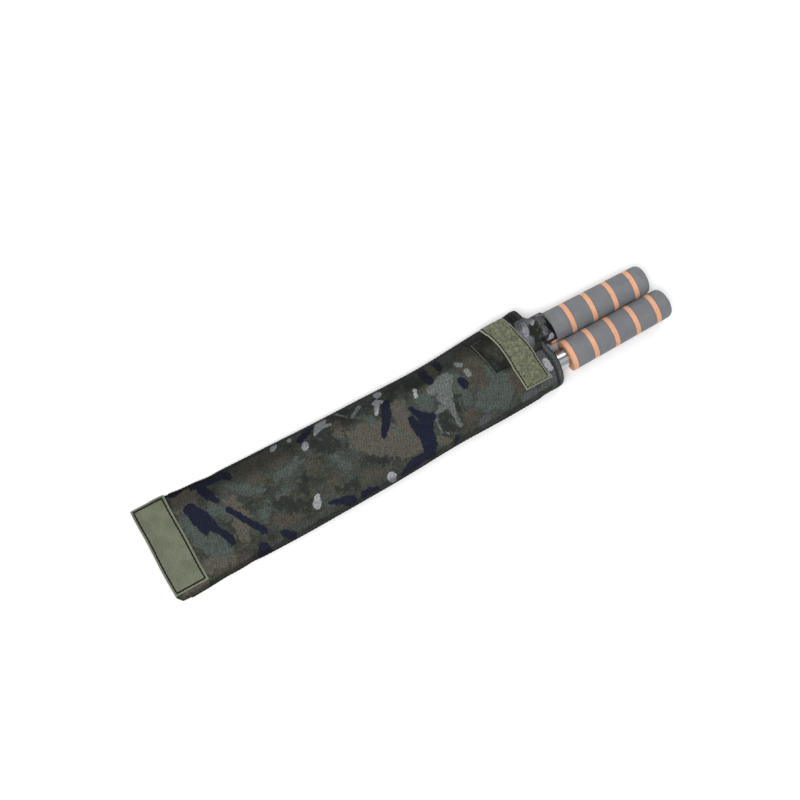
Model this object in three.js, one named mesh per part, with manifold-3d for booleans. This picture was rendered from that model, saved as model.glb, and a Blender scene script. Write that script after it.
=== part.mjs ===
// A soft camouflage carrying sheath holding a pair of foam-gripped steel sticks, which a short
// ball-bearing swivel chain joins inside it. Millimetres, +Z up, +X from the tail to the mouth.
// The design frame has the sheath's mouth at x = 0, the middle of the mouth near y = 4 and the
// surface it lies on at z = 0. The last lines move it to the bottom centre of its box.
import * as THREE from 'three';
import { mergeVertices } from 'three/addons/utils/BufferGeometryUtils.js';
import Module from 'manifold-3d';

const manifoldLibrary = await Module();
manifoldLibrary.setup();

// ---- Driving dimensions ----
const GAP = 0.3; // clearance between pieces that touch

const SHEATH_LENGTH = 418; // tail edge to mouth
const TAIL_WIDTH = 98;
const WAIST_WIDTH = 84.5;
const MOUTH_WIDTH = 87;
const MOUTH_HEIGHT = 31.5;
const FABRIC = 2; // padded panel thickness
const HEM_LENGTH = 12;
const SHEATH_BOW = 6; // how far the middle of the sheath bends towards -Y
const RIM_SKEW = 0.08; // the mouth is cut a little off square
const CROWN = 0.9; // roundness of the crowned front, 1 is an ellipse
const FLAT_SHARE = 0.8; // share of the back's width that lies flat
const SEAM_CORD_RADIUS = 0.8;

const HOOK_TAPE_WIDTH = 33;
const HOOK_TAPE_THICKNESS = 1.4;
const HOOK_TAPE_MARGIN = 9; // bare fabric between the hook tape and the right edge
const LOOP_TAPE_WIDTH = 28;
const LOOP_TAPE_THICKNESS = 1.6;
const LOOP_TAPE_FRONT = -10; // its mouth side edge
const TAPE_SKEW = 0.2;
const STRAP_THICKNESS = 1.3;
const STRAP_PATCH_TAIL = -53; // where the sewn end of the strap starts
const TAB_REACH = 18; // how far the strap's free tab passes the mouth
const THREAD_RADIUS = 0.35;
const STITCH_MARGIN = 3;

const STICK_SPACING = 32.4; // between the two stick axes
const STICK_MIDDLE = -1.2; // the middle between them
const GRIP_DIAMETER = 32; // at the end towards the sheath
const GRIP_TIP_DIAMETER = 30.2;
const TUBE_DIAMETER = 19;
const TUBE_WALL = 2;
const TUBE_INNER_END = -158; // the chain end of both tubes
const LEFT_GRIP_START = 11.7;
const RIGHT_GRIP_START = 19;
const RING_WIDTH = 5;
const RING_PITCH = 23.8;
const RING_COUNT = 5;
const LAST_FOAM_LENGTH = 12.5;
const PLUG_HEAD = 2.4; // how far the end plug stands out of the grip

const FERRULE_LENGTH = 8;
const SPIGOT_LENGTH = 11;
const STUD_RADIUS = 2.3;
const BEARING_RADIUS = 5.2;
const BEARING_WIDTH = 5;
const CHAIN_WIRE = 2;
const LINK_INNER_WIDTH = 4.6;
const LINKS_PER_STRAIGHT = 2;
const LINKS_IN_BEND = 5;

const ROUND_SIDES = 20;
const WIRE_SIDES = 6;
const THREAD_SIDES = 4;
const PANEL_STEPS_ALONG = 18;
const PANEL_STEPS_ACROSS = 18;

// ---- Colours ----
const camo = { color: 0x3f4436, roughness: 0.95, metalness: 0 };
const strapCloth = { color: 0x33322a, roughness: 0.95, metalness: 0 };
const hookTape = { color: 0x828a6e, roughness: 0.8, metalness: 0 };
const loopTape = { color: 0x7d825f, roughness: 1, metalness: 0 };
const thread = { color: 0x1c1e18, roughness: 0.9, metalness: 0 };
const greyFoam = { color: 0x76767a, roughness: 0.9, metalness: 0 };
const orangeFoam = { color: 0xecaa80, roughness: 0.85, metalness: 0 };
const polishedSteel = { color: 0xc8cacc, roughness: 0.15, metalness: 1 };
const bearingSteel = { color: 0x9a9c9e, roughness: 0.3, metalness: 1 };
const darkPlastic = { color: 0x1d1e22, roughness: 0.6, metalness: 0 };

// ---- Solids ----

/** Merges shared corners and turns the faces outward, so that the geometry is one closed body. */
function closedBody(geometry) {
  geometry.deleteAttribute('normal');
  geometry.deleteAttribute('uv');
  const merged = mergeVertices(geometry, 1e-5);
  const position = merged.getAttribute('position');
  const index = merged.getIndex();
  const corner = (k) => new THREE.Vector3().fromBufferAttribute(position, index.getX(k));
  let volume = 0;
  for (let k = 0; k < index.count; k += 3) {
    volume += corner(k).dot(corner(k + 1).cross(corner(k + 2)));
  }
  if (volume < 0) {
    for (let k = 0; k < index.count; k += 3) {
      const second = index.getX(k + 1);
      index.setX(k + 1, index.getX(k + 2));
      index.setX(k + 2, second);
    }
  }
  merged.computeVertexNormals();
  return merged;
}

function bodyFrom(points, triangles) {
  const geometry = new THREE.BufferGeometry();
  geometry.setAttribute(
    'position',
    new THREE.Float32BufferAttribute(points.flatMap((p) => [p.x, p.y, p.z]), 3),
  );
  geometry.setIndex(triangles);
  return closedBody(geometry);
}

/** The solid between an outer and an inner grid of points. ring joins each row's ends together. */
function solidBetween(outer, inner, ring = false) {
  const rows = outer.length;
  const columns = outer[0].length;
  const points = [...outer.flat(), ...inner.flat()];
  const at = (layer, i, j) => layer * rows * columns + i * columns + (j % columns);
  const triangles = [];
  const quad = (a, b, c, d) => triangles.push(a, b, c, a, c, d);
  const spans = ring ? columns : columns - 1;
  for (let i = 0; i < rows - 1; i += 1) {
    for (let j = 0; j < spans; j += 1) {
      quad(at(0, i, j), at(0, i + 1, j), at(0, i + 1, j + 1), at(0, i, j + 1));
      quad(at(1, i, j), at(1, i, j + 1), at(1, i + 1, j + 1), at(1, i + 1, j));
    }
    if (!ring) {
      const last = columns - 1;
      quad(at(0, i, 0), at(1, i, 0), at(1, i + 1, 0), at(0, i + 1, 0));
      quad(at(0, i, last), at(0, i + 1, last), at(1, i + 1, last), at(1, i, last));
    }
  }
  const end = rows - 1;
  for (let j = 0; j < spans; j += 1) {
    quad(at(0, 0, j), at(0, 0, j + 1), at(1, 0, j + 1), at(1, 0, j));
    quad(at(0, end, j), at(1, end, j), at(1, end, j + 1), at(0, end, j + 1));
  }
  return bodyFrom(points, triangles);
}

/** A closed round tube through a loop of points. ups are directions across the loop. */
function closedTube(points, ups, radius, sides) {
  const count = points.length;
  const corners = [];
  points.forEach((point, i) => {
    const along = points[(i + 1) % count].clone().sub(points[(i + count - 1) % count]).normalize();
    const side = along.clone().cross(ups[i]).normalize();
    const up = side.clone().cross(along).normalize();
    for (let k = 0; k < sides; k += 1) {
      const angle = (2 * Math.PI * k) / sides;
      const offset = side.clone().multiplyScalar(Math.cos(angle) * radius);
      corners.push(point.clone().add(offset).addScaledVector(up, Math.sin(angle) * radius));
    }
  });
  const triangles = [];
  for (let i = 0; i < count; i += 1) {
    const next = ((i + 1) % count) * sides;
    for (let k = 0; k < sides; k += 1) {
      const k2 = (k + 1) % sides;
      triangles.push(i * sides + k, next + k, next + k2, i * sides + k, next + k2, i * sides + k2);
    }
  }
  return bodyFrom(corners, triangles);
}

/** A body turned about the X axis. profile lists [radius, x] pairs. closeIt closes it. */
function turned(profile, closeIt = true, sides = ROUND_SIDES) {
  const outline = profile.map(([radius, x]) => new THREE.Vector2(radius, x));
  if (closeIt) {
    outline.push(outline[0].clone());
  }
  const geometry = new THREE.LatheGeometry(outline, sides);
  geometry.rotateZ(-Math.PI / 2);
  return closedBody(geometry);
}

function sleeve(outerRadius, innerRadius, start, end) {
  return turned([
    [innerRadius, start], [outerRadius, start], [outerRadius, end], [innerRadius, end],
  ]);
}

function joined(first, second) {
  const solids = [first, second].map((geometry) => {
    const mesh = new manifoldLibrary.Mesh({
      numProp: 3,
      vertProperties: Float32Array.from(geometry.getAttribute('position').array),
      triVerts: Uint32Array.from(geometry.getIndex().array),
    });
    return new manifoldLibrary.Manifold(mesh);
  });
  const whole = solids[0].add(solids[1]).getMesh();
  const geometry = new THREE.BufferGeometry();
  geometry.setAttribute('position', new THREE.Float32BufferAttribute(whole.vertProperties, 3));
  geometry.setIndex([...whole.triVerts]);
  return closedBody(geometry);
}

function piece(name, geometry, finish) {
  const mesh = new THREE.Mesh(geometry, new THREE.MeshStandardMaterial(finish));
  mesh.name = name;
  return mesh;
}

// ---- The sheath's outer form ----

function eased(share) {
  const t = Math.min(1, Math.max(0, share));
  return t * t * (3 - 2 * t);
}

/** Goes smoothly through [x, value] stations that are in order of x. */
function through(stations, x) {
  const after = stations.findIndex((station) => station[0] >= x);
  if (after === 0) {
    return stations[0][1];
  }
  if (after < 0) {
    return stations[stations.length - 1][1];
  }
  const [x0, v0] = stations[after - 1];
  const [x1, v1] = stations[after];
  return v0 + (v1 - v0) * eased((x - x0) / (x1 - x0));
}

const TAIL = -SHEATH_LENGTH;
const TAIL_HEIGHT = 2 * FABRIC + GAP; // the two panels lie flat on each other at the tail
const HALF_WIDTHS = [[TAIL, TAIL_WIDTH / 2], [-110, WAIST_WIDTH / 2], [0, MOUTH_WIDTH / 2]];
const TOP_HEIGHTS = [[TAIL, TAIL_HEIGHT], [-180, MOUTH_HEIGHT - 1], [0, MOUTH_HEIGHT]];
const SEAM_HEIGHTS = [[TAIL, TAIL_HEIGHT / 2], [-180, 9], [0, 9]];
const MOUTH_OFFSET = 4; // the mouth's middle is towards +Y of the sticks
const BOW_MIDDLE = -225;

function sheathAt(x) {
  const away = (x - BOW_MIDDLE) / BOW_MIDDLE;
  return {
    centre: MOUTH_OFFSET - SHEATH_BOW + SHEATH_BOW * away * away,
    half: through(HALF_WIDTHS, x),
    top: through(TOP_HEIGHTS, x),
    seam: through(SEAM_HEIGHTS, x),
  };
}

/** Leans the sections near the mouth, so that the rim is cut off square. */
function leaned(x, y, z) {
  return new THREE.Vector3(x - RIM_SKEW * y * eased(1 + x / 80), y, z);
}

/** A point of the crowned front. turn goes from -1 at the right seam to 1 at the left one. */
function frontPoint(x, turn, lift = 0) {
  const form = sheathAt(x);
  const angle = (turn * Math.PI) / 2;
  const across = Math.sign(turn) * Math.abs(Math.sin(angle)) ** CROWN;
  const rise = Math.abs(turn) === 1 ? 0 : Math.cos(angle) ** CROWN;
  const edge = form.seam + GAP / 2;
  const y = form.centre + (form.half + lift) * across;
  return leaned(x, y, edge + (form.top + lift - edge) * rise);
}

/** A point of the back, which lies flat and turns up to the seams. inset goes into the sheath. */
function backPoint(x, turn, inset = 0) {
  const form = sheathAt(x);
  const across = Math.sin((turn * Math.PI) / 2);
  const corner = Math.min(1, Math.max(0, (Math.abs(across) - FLAT_SHARE) / (1 - FLAT_SHARE)));
  const rise = 1 - Math.sqrt(1 - corner * corner);
  const edge = form.seam - GAP / 2;
  return leaned(x, form.centre + (form.half - inset) * across, inset + (edge - inset) * rise);
}

function steps(from, to, count) {
  return Array.from({ length: count + 1 }, (_, i) => from + ((to - from) * i) / count);
}

const PANEL_XS = steps(TAIL, -HEM_LENGTH - GAP, PANEL_STEPS_ALONG);
const TURNS = steps(-1, 1, PANEL_STEPS_ACROSS);

/** The two limits and the lines of a grid that lie between them, so that layers share facets. */
function linesBetween(grid, low, high) {
  return [low, ...grid.filter((line) => line > low + 1e-6 && line < high - 1e-6), high];
}

/** The turn at which the front reaches a given y, found by halving. */
function turnAt(x, y) {
  let low = -1;
  let high = 1;
  for (let i = 0; i < 30; i += 1) {
    const middle = (low + high) / 2;
    if (frontPoint(x, middle).y < y) {
      low = middle;
    } else {
      high = middle;
    }
  }
  return (low + high) / 2;
}

/** A strip lying on the front. slant moves it along X as it crosses the sheath. */
function stripPoint(x, turn, lift, slant) {
  return frontPoint(x - slant * frontPoint(x, turn).y, turn, lift);
}

function strip(xs, turns, slant, liftAt, thickness) {
  const at = (x, turn, extra) => stripPoint(x, turn, liftAt(turn) + extra, slant);
  const layer = (extra) => xs.map((x) => turns.map((turn) => at(x, turn, extra)));
  return solidBetween(layer(thickness), layer(0));
}

/** A closed line of thread sewn round a rectangle of the front. */
function stitchLoop(x0, x1, turns, slant, liftAt, grid = []) {
  const xs = linesBetween(grid, x0, x1);
  const first = turns[0];
  const last = turns[turns.length - 1];
  const route = [
    ...turns.map((turn) => [x0, turn]),
    ...xs.slice(1).map((x) => [x, last]),
    ...turns.slice(0, -1).reverse().map((turn) => [x1, turn]),
    ...xs.slice(1, -1).reverse().map((x) => [x, first]),
  ];
  const lift = (turn) => liftAt(turn) + GAP + THREAD_RADIUS;
  const points = route.map(([x, turn]) => stripPoint(x, turn, lift(turn), slant));
  const ups = points.map((p) => new THREE.Vector3(0, p.y, p.z));
  return closedTube(points, ups, THREAD_RADIUS, THREAD_SIDES);
}

/** The y of a stick's axis. side is 1 for the left stick and -1 for the right one. */
function stickAxis(side) {
  return STICK_MIDDLE + (side * STICK_SPACING) / 2;
}

// ---- Sheath pieces ----

function frontPanel() {
  const grid = (lift) => PANEL_XS.map((x) => TURNS.map((turn) => frontPoint(x, turn, lift)));
  return solidBetween(grid(0), grid(-FABRIC));
}

function backPanel() {
  const grid = (inset) => PANEL_XS.map((x) => TURNS.map((turn) => backPoint(x, turn, inset)));
  return solidBetween(grid(0), grid(FABRIC));
}

/** The doubled band round the mouth, one ring of the front's and the back's outlines. */
function mouthHem() {
  const xs = steps(-HEM_LENGTH, 0, 2);
  const loop = (x, depth) => [
    ...TURNS.map((turn) => frontPoint(x, turn, -depth)),
    ...TURNS.map((turn) => backPoint(x, -turn, depth)),
  ];
  return solidBetween(xs.map((x) => loop(x, 0)), xs.map((x) => loop(x, FABRIC + 0.5)), true);
}

/** The cord sewn along a side seam, from the given x to the hem. */
function sideSeam(side, from) {
  const xs = steps(from, -HEM_LENGTH - 4, PANEL_STEPS_ALONG);
  const clear = GAP + SEAM_CORD_RADIUS;
  const route = xs.map((x) => {
    const form = sheathAt(x);
    const z = Math.max(form.seam, SEAM_CORD_RADIUS);
    return leaned(x, form.centre + side * (form.half + clear), z);
  });
  const circle = new THREE.Path().absarc(0, 0, SEAM_CORD_RADIUS, 0, 2 * Math.PI);
  const outline = new THREE.Shape(circle.getPoints(3));
  const extrudePath = new THREE.CatmullRomCurve3(route);
  const settings = { steps: PANEL_STEPS_ALONG, bevelEnabled: false, extrudePath };
  return closedBody(new THREE.ExtrudeGeometry(outline, settings));
}

const HOOK_BACK = TAIL + 1;
const HOOK_FRONT = HOOK_BACK + HOOK_TAPE_WIDTH;
const hookTurns = linesBetween(TURNS, turnAt(TAIL, -TAIL_WIDTH / 2 + HOOK_TAPE_MARGIN), 0.95);
const onPanel = () => GAP;

function hookTapeStrip() {
  const xs = linesBetween(PANEL_XS, HOOK_BACK, HOOK_FRONT);
  return strip(xs, hookTurns, 0, onPanel, HOOK_TAPE_THICKNESS);
}

function hookTapeStitching() {
  const turns = linesBetween(TURNS, hookTurns[0] + 0.05, 0.9);
  const lift = () => GAP + HOOK_TAPE_THICKNESS;
  const back = HOOK_BACK + STITCH_MARGIN;
  return stitchLoop(back, HOOK_FRONT - STITCH_MARGIN, turns, 0, lift, PANEL_XS);
}

// The strap is sewn under the loop tape, in line with the left stick.
const strapTurns = linesBetween(TURNS, turnAt(-30, -1), turnAt(-30, 34));
const STRAP_FRONT = -1.5;

function strapAnchor() {
  const xs = steps(STRAP_PATCH_TAIL, STRAP_FRONT, 5);
  return strip(xs, strapTurns, RIM_SKEW, onPanel, STRAP_THICKNESS);
}

/** The loop tape lies on the panel at its ends and rises over the strap between them. */
function underLoopTape(turn) {
  const gridStep = 2 / PANEL_STEPS_ACROSS;
  const low = strapTurns[0] - gridStep;
  const high = strapTurns[strapTurns.length - 1] + gridStep;
  return turn > low && turn < high ? 2 * GAP + STRAP_THICKNESS : GAP;
}

const LOOP_BACK = LOOP_TAPE_FRONT - LOOP_TAPE_WIDTH;
const loopTurns = linesBetween(TURNS, turnAt(-30, -27), 0.9);

function loopTapeStrip() {
  const xs = steps(LOOP_BACK, LOOP_TAPE_FRONT, 3);
  return strip(xs, loopTurns, TAPE_SKEW, underLoopTape, LOOP_TAPE_THICKNESS);
}

function loopTapeStitching() {
  const turns = loopTurns.slice(1, -1);
  const lift = (turn) => underLoopTape(turn) + LOOP_TAPE_THICKNESS;
  const back = LOOP_BACK + STITCH_MARGIN;
  return stitchLoop(back, LOOP_TAPE_FRONT - STITCH_MARGIN, turns, TAPE_SKEW, lift);
}

/** The hem's double line of thread, on the front to the right of the strap. */
function hemStitching() {
  const turns = linesBetween(TURNS, -0.9, strapTurns[0] - 0.06);
  return stitchLoop(-3.4, -1.6, turns, 0, () => 0);
}

/** The strap's free end, which wraps over the left grip in front of the mouth. */
function strapTab() {
  const clearRadius = GRIP_DIAMETER / 2 + 0.4;
  const angles = steps(-56, 80, 14).map(THREE.MathUtils.degToRad);
  const layer = (radius) => steps(0, 1, 3).map((share) => angles.map((angle) => {
    const y = stickAxis(1) + radius * Math.sin(angle);
    const z = GRIP_DIAMETER / 2 + radius * Math.cos(angle);
    const back = GAP * 3 - RIM_SKEW * y;
    const front = TAB_REACH - 2 * RIM_SKEW * y;
    return new THREE.Vector3(back + (front - back) * share, y, z);
  }));
  return solidBetween(layer(clearRadius + STRAP_THICKNESS), layer(clearRadius));
}

// ---- Stick pieces, made on the X axis ----

const GRIP_LENGTH = (RING_COUNT - 1) * RING_PITCH + RING_WIDTH + LAST_FOAM_LENGTH;
const TIP_RADIUS = GRIP_TIP_DIAMETER / 2;

/** The grip's radius, which shrinks evenly from its start to its tip. */
function gripRadius(along) {
  return GRIP_DIAMETER / 2 + (TIP_RADIUS - GRIP_DIAMETER / 2) * (along / GRIP_LENGTH);
}

const GRIP_BORE = TUBE_DIAMETER / 2 + GAP;
const TUBE_BORE = TUBE_DIAMETER / 2 - TUBE_WALL;

function foamSleeve(gripStart, start, end, rounded) {
  const wide = gripRadius(start - gripStart);
  const narrow = gripRadius(end - gripStart);
  if (!rounded) {
    return turned([[GRIP_BORE, start], [wide, start], [narrow, end], [GRIP_BORE, end]]);
  }
  return turned([
    [GRIP_BORE, start], [wide, start], [narrow, end - 5], [narrow - 0.9, end - 2],
    [narrow - 2.6, end], [GRIP_BORE, end],
  ]);
}

/** A cup pressed into the tube's chain end. It holds the bearing and lets the stud through. */
function ferrule() {
  const lip = TUBE_INNER_END - GAP;
  const outerEnd = lip - FERRULE_LENGTH;
  const spigot = TUBE_BORE - GAP;
  const seat = BEARING_RADIUS + GAP;
  const hole = STUD_RADIUS + GAP;
  const wall = 2.5;
  return turned([
    [hole, outerEnd], [hole + 3, outerEnd], [TUBE_DIAMETER / 2, lip - 3], [TUBE_DIAMETER / 2, lip],
    [spigot, lip], [spigot, lip + SPIGOT_LENGTH], [seat, lip + SPIGOT_LENGTH],
    [seat, outerEnd + wall], [hole, outerEnd + wall],
  ]);
}

const BEARING_START = TUBE_INNER_END - FERRULE_LENGTH + 2.5 + 0.2;

function bearing() {
  return sleeve(BEARING_RADIUS, STUD_RADIUS + GAP, BEARING_START, BEARING_START + BEARING_WIDTH);
}

function endPlug(end) {
  const spigot = TUBE_BORE - GAP;
  return turned([
    [0, end - 16], [spigot - 1, end - 16], [spigot, end - 14], [spigot, end + GAP],
    [TIP_RADIUS - 4, end + GAP], [TIP_RADIUS - 4, end + PLUG_HEAD - 1],
    [TIP_RADIUS - 5.5, end + PLUG_HEAD], [0, end + PLUG_HEAD],
  ], false);
}

function stick(side, name, gripStart) {
  const group = new THREE.Group();
  const end = gripStart + GRIP_LENGTH;
  const tube = sleeve(TUBE_DIAMETER / 2, TUBE_BORE, TUBE_INNER_END, end - GAP);
  group.add(piece(`${name}_steel_tube`, tube, polishedSteel));
  group.add(piece(`${name}_ferrule`, ferrule(), bearingSteel));
  group.add(piece(`${name}_swivel_bearing`, bearing(), bearingSteel));
  group.add(piece(`${name}_end_plug`, endPlug(end), darkPlastic));
  for (let i = 0; i < RING_COUNT; i += 1) {
    const ringStart = gripStart + i * RING_PITCH;
    const ringEnd = ringStart + RING_WIDTH;
    const last = i === RING_COUNT - 1;
    const foamEnd = last ? end : ringStart + RING_PITCH - GAP;
    const ring = foamSleeve(gripStart, ringStart, ringEnd, false);
    const foam = foamSleeve(gripStart, ringEnd + GAP, foamEnd, last);
    group.add(piece(`${name}_grip_ring_${i + 1}`, ring, orangeFoam));
    group.add(piece(`${name}_grip_foam_${i + 1}`, foam, greyFoam));
  }
  group.position.set(0, stickAxis(side), GRIP_DIAMETER / 2);
  return group;
}

// ---- Swivel chain ----

const EYE_RADIUS = 3.4;
const LINK_PITCH = STICK_SPACING * Math.sin(Math.PI / (2 * LINKS_IN_BEND));
const LINK_SLACK = 1;
const LINK_HALF_LENGTH = (LINK_PITCH + LINK_SLACK + CHAIN_WIRE) / 2;
const WIRE_PAST_JOINT = (CHAIN_WIRE + LINK_SLACK) / 2;
const FIRST_JOINT = TUBE_INNER_END - GAP - FERRULE_LENGTH - 9;

/** Where the links meet, from the left stud, round the bend, to the right stud. */
function chainJoints() {
  const half = STICK_SPACING / 2;
  const bendX = FIRST_JOINT - LINKS_PER_STRAIGHT * LINK_PITCH;
  const straight = steps(FIRST_JOINT, bendX, LINKS_PER_STRAIGHT);
  const bend = steps(0, Math.PI, LINKS_IN_BEND).slice(1, -1);
  const at = (x, y) => new THREE.Vector3(x, STICK_MIDDLE + y, GRIP_DIAMETER / 2);
  return [
    ...straight.map((x) => at(x, half)),
    ...bend.map((angle) => at(bendX - half * Math.sin(angle), half * Math.cos(angle))),
    ...straight.reverse().map((x) => at(x, -half)),
  ];
}

/** An oval link of round wire. It lies flat, or stands on edge if upright. */
function link(upright) {
  const bendRadius = (LINK_INNER_WIDTH + CHAIN_WIRE) / 2;
  const straight = LINK_HALF_LENGTH - bendRadius;
  const half = (sign) => steps(-90, 90, 6).map((degrees) => {
    const angle = THREE.MathUtils.degToRad(degrees);
    const along = sign * (straight + bendRadius * Math.cos(angle));
    const across = sign * bendRadius * Math.sin(angle);
    return new THREE.Vector3(along, upright ? 0 : across, upright ? across : 0);
  });
  const points = [...half(1), ...half(-1)];
  const up = upright ? new THREE.Vector3(0, 1, 0) : new THREE.Vector3(0, 0, 1);
  return closedTube(points, points.map(() => up), CHAIN_WIRE / 2, WIRE_SIDES);
}

/** The stud that turns in the bearing: a head, a shaft and the eye that the first link hangs in. */
function swivelStud() {
  const eyeCentre = FIRST_JOINT - WIRE_PAST_JOINT + EYE_RADIUS;
  const headStart = BEARING_START + BEARING_WIDTH + GAP;
  const shaftStart = eyeCentre + EYE_RADIUS - 0.6;
  const shaft = turned([
    [0, shaftStart], [STUD_RADIUS, shaftStart], [STUD_RADIUS, headStart], [4.2, headStart],
    [4.2, headStart + 2], [3.2, headStart + 3], [0, headStart + 3],
  ], false, 12);
  const eye = new THREE.TorusGeometry(EYE_RADIUS, CHAIN_WIRE / 2, WIRE_SIDES, 14);
  eye.rotateX(Math.PI / 2);
  eye.translate(eyeCentre, 0, 0);
  return joined(shaft, closedBody(eye));
}

function swivelChain() {
  const group = new THREE.Group();
  [['left', 1], ['right', -1]].forEach(([name, side]) => {
    const stud = piece(`${name}_swivel_stud`, swivelStud(), bearingSteel);
    stud.position.set(0, stickAxis(side), GRIP_DIAMETER / 2);
    group.add(stud);
  });
  const joints = chainJoints();
  for (let i = 0; i < joints.length - 1; i += 1) {
    const along = joints[i + 1].clone().sub(joints[i]);
    const mesh = piece(`chain_link_${i + 1}`, link(i % 2 === 1), bearingSteel);
    mesh.position.copy(joints[i]).addScaledVector(along, 0.5);
    mesh.rotation.z = Math.atan2(along.y, along.x);
    group.add(mesh);
  }
  return group;
}

// ---- Assembly ----

function sheath() {
  const group = new THREE.Group();
  group.add(piece('front_panel', frontPanel(), camo));
  group.add(piece('back_panel', backPanel(), camo));
  group.add(piece('mouth_hem', mouthHem(), camo));
  group.add(piece('left_side_seam', sideSeam(1, HOOK_FRONT + 2), thread));
  group.add(piece('right_side_seam', sideSeam(-1, TAIL + 4), thread));
  group.add(piece('hook_tape', hookTapeStrip(), hookTape));
  group.add(piece('hook_tape_stitching', hookTapeStitching(), thread));
  group.add(piece('loop_tape', loopTapeStrip(), loopTape));
  group.add(piece('loop_tape_stitching', loopTapeStitching(), thread));
  group.add(piece('hem_stitching', hemStitching(), thread));
  group.add(piece('strap_anchor', strapAnchor(), strapCloth));
  group.add(piece('strap_tab', strapTab(), strapCloth));
  return group;
}

const model = new THREE.Group();
model.add(sheath());
model.add(stick(1, 'left', LEFT_GRIP_START));
model.add(stick(-1, 'right', RIGHT_GRIP_START));
model.add(swivelChain());

// The origin is the bottom centre of the whole object's box.
const box = new THREE.Box3().setFromObject(model, true);
const middle = box.getCenter(new THREE.Vector3());
model.position.set(-middle.x, -middle.y, -box.min.z);
model.updateMatrixWorld(true);

export default model;
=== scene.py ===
import math

import bmesh
import bpy
import numpy as np
from mathutils import Matrix, Vector


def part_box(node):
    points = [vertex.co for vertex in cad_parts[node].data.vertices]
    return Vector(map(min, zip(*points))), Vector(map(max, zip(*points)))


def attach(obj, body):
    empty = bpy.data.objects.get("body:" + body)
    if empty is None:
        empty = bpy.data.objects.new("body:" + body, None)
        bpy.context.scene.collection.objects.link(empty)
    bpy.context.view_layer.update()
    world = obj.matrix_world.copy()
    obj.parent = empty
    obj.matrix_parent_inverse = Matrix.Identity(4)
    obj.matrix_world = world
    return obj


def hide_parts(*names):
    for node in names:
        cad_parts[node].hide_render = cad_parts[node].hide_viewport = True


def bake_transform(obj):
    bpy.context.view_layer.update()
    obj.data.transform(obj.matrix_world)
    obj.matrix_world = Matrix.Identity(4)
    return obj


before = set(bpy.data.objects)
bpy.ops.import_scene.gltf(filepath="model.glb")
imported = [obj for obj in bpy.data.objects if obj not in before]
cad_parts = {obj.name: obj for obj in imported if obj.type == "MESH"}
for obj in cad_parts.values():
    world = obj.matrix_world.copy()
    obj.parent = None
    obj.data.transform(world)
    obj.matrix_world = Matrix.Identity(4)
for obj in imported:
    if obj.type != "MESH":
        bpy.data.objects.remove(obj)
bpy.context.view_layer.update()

# A camouflage carrying sheath with a pair of foam-gripped steel sticks inside, joined by a swivel
# chain. Shapes are worked out in millimetres in the design frame: the mouth is at x = 0 and the
# middle between the two sticks at y = STICK_MIDDLE. place() makes them metres in the row frame.

TAIL = -418
MOUTH_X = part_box("front_panel")[0].x * 1000 - TAIL
STICK_BOXES = [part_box("left_steel_tube"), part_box("right_steel_tube")]
STICK_MIDDLE = -1.2
MIDDLE_Y = sum(low.y + high.y for low, high in STICK_BOXES) * 250 - STICK_MIDDLE
random = np.random.default_rng(446)

# ---- Dimensions of the sheath, mm ----
TAIL_CORNER_Y = -42
HEM_BACK = -12  # where the doubled band round the mouth starts
HALF_WIDTHS = [(TAIL, 48.5), (-392, 48.3), (-366, 46.5), (-240, 43.9), (-110, 41.5), (0, 43.2)]
TOP_HEIGHTS = [(TAIL, 4.3), (-180, 30.5), (0, 31.5)]
SEAM_HEIGHTS = [(TAIL, 2.15), (-180, 9), (0, 9)]
BOW_MIDDLE = -225
MOUTH_OFFSET = 4
SHEATH_BOW = 6
CROWN = 0.9
FLAT_SHARE = 0.8
FABRIC = 2
GAP = 0.3

# ---- Dimensions of the sticks and the chain, mm ----
STICK_SPACING = 32.4
AXIS_HEIGHT = 16
GRIP_RADIUS = 16
TIP_RADIUS = 15.1
TUBE_RADIUS = 9.5
TUBE_BORE = 7.5
TUBE_INNER_END = -158
GRIP_STARTS = {"left": 11.7, "right": 19}
SIDES = {"left": 1, "right": -1}
RING_WIDTH = 5
RING_PITCH = 23.8
RING_COUNT = 5
LAST_FOAM = 12.5
GRIP_LENGTH = (RING_COUNT - 1) * RING_PITCH + RING_WIDTH + LAST_FOAM
TIP_LEAN = 1.0  # how far the soft foam leans towards the other grip at its tip
PLUG_PROUD = {"left": 0.0, "right": 0.9}  # the right plug isn't pressed in quite as far
FERRULE_LENGTH = 8
SPIGOT_LENGTH = 11
STUD_RADIUS = 2.3
BEARING_RADIUS = 5.2
BEARING_START = TUBE_INNER_END - FERRULE_LENGTH + 2.7
BEARING_WIDTH = 5
CHAIN_WIRE = 1
LINK_PITCH = STICK_SPACING * math.sin(math.pi / 10)
FIRST_JOINT = TUBE_INNER_END - GAP - FERRULE_LENGTH - 9


# ---- Small helpers ----

def eased(share):
    t = np.clip(share, 0, 1)
    return t * t * (3 - 2 * t)


def through(stations, x):
    value = np.full(np.shape(x), float(stations[0][1]))
    for (x0, v0), (x1, v1) in zip(stations, stations[1:]):
        value = np.where(x >= x0, v0 + (v1 - v0) * eased((x - x0) / (x1 - x0)), value)
    return value


def waves(seed, count, short, long, stretch=1.0):
    """A smooth random height over (x, y), about -1 to 1, made of a few sine waves."""
    own = np.random.default_rng(seed)
    angles = own.uniform(0, math.tau, count)
    lengths = own.uniform(short, long, count)
    phases = own.uniform(0, math.tau, count)
    kx = math.tau * np.cos(angles) / lengths / stretch
    ky = math.tau * np.sin(angles) / lengths

    def height(x, y):
        total = sum(np.sin(a * x + b * y + c) for a, b, c in zip(kx, ky, phases))
        return total / math.sqrt(count)

    return height


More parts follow.
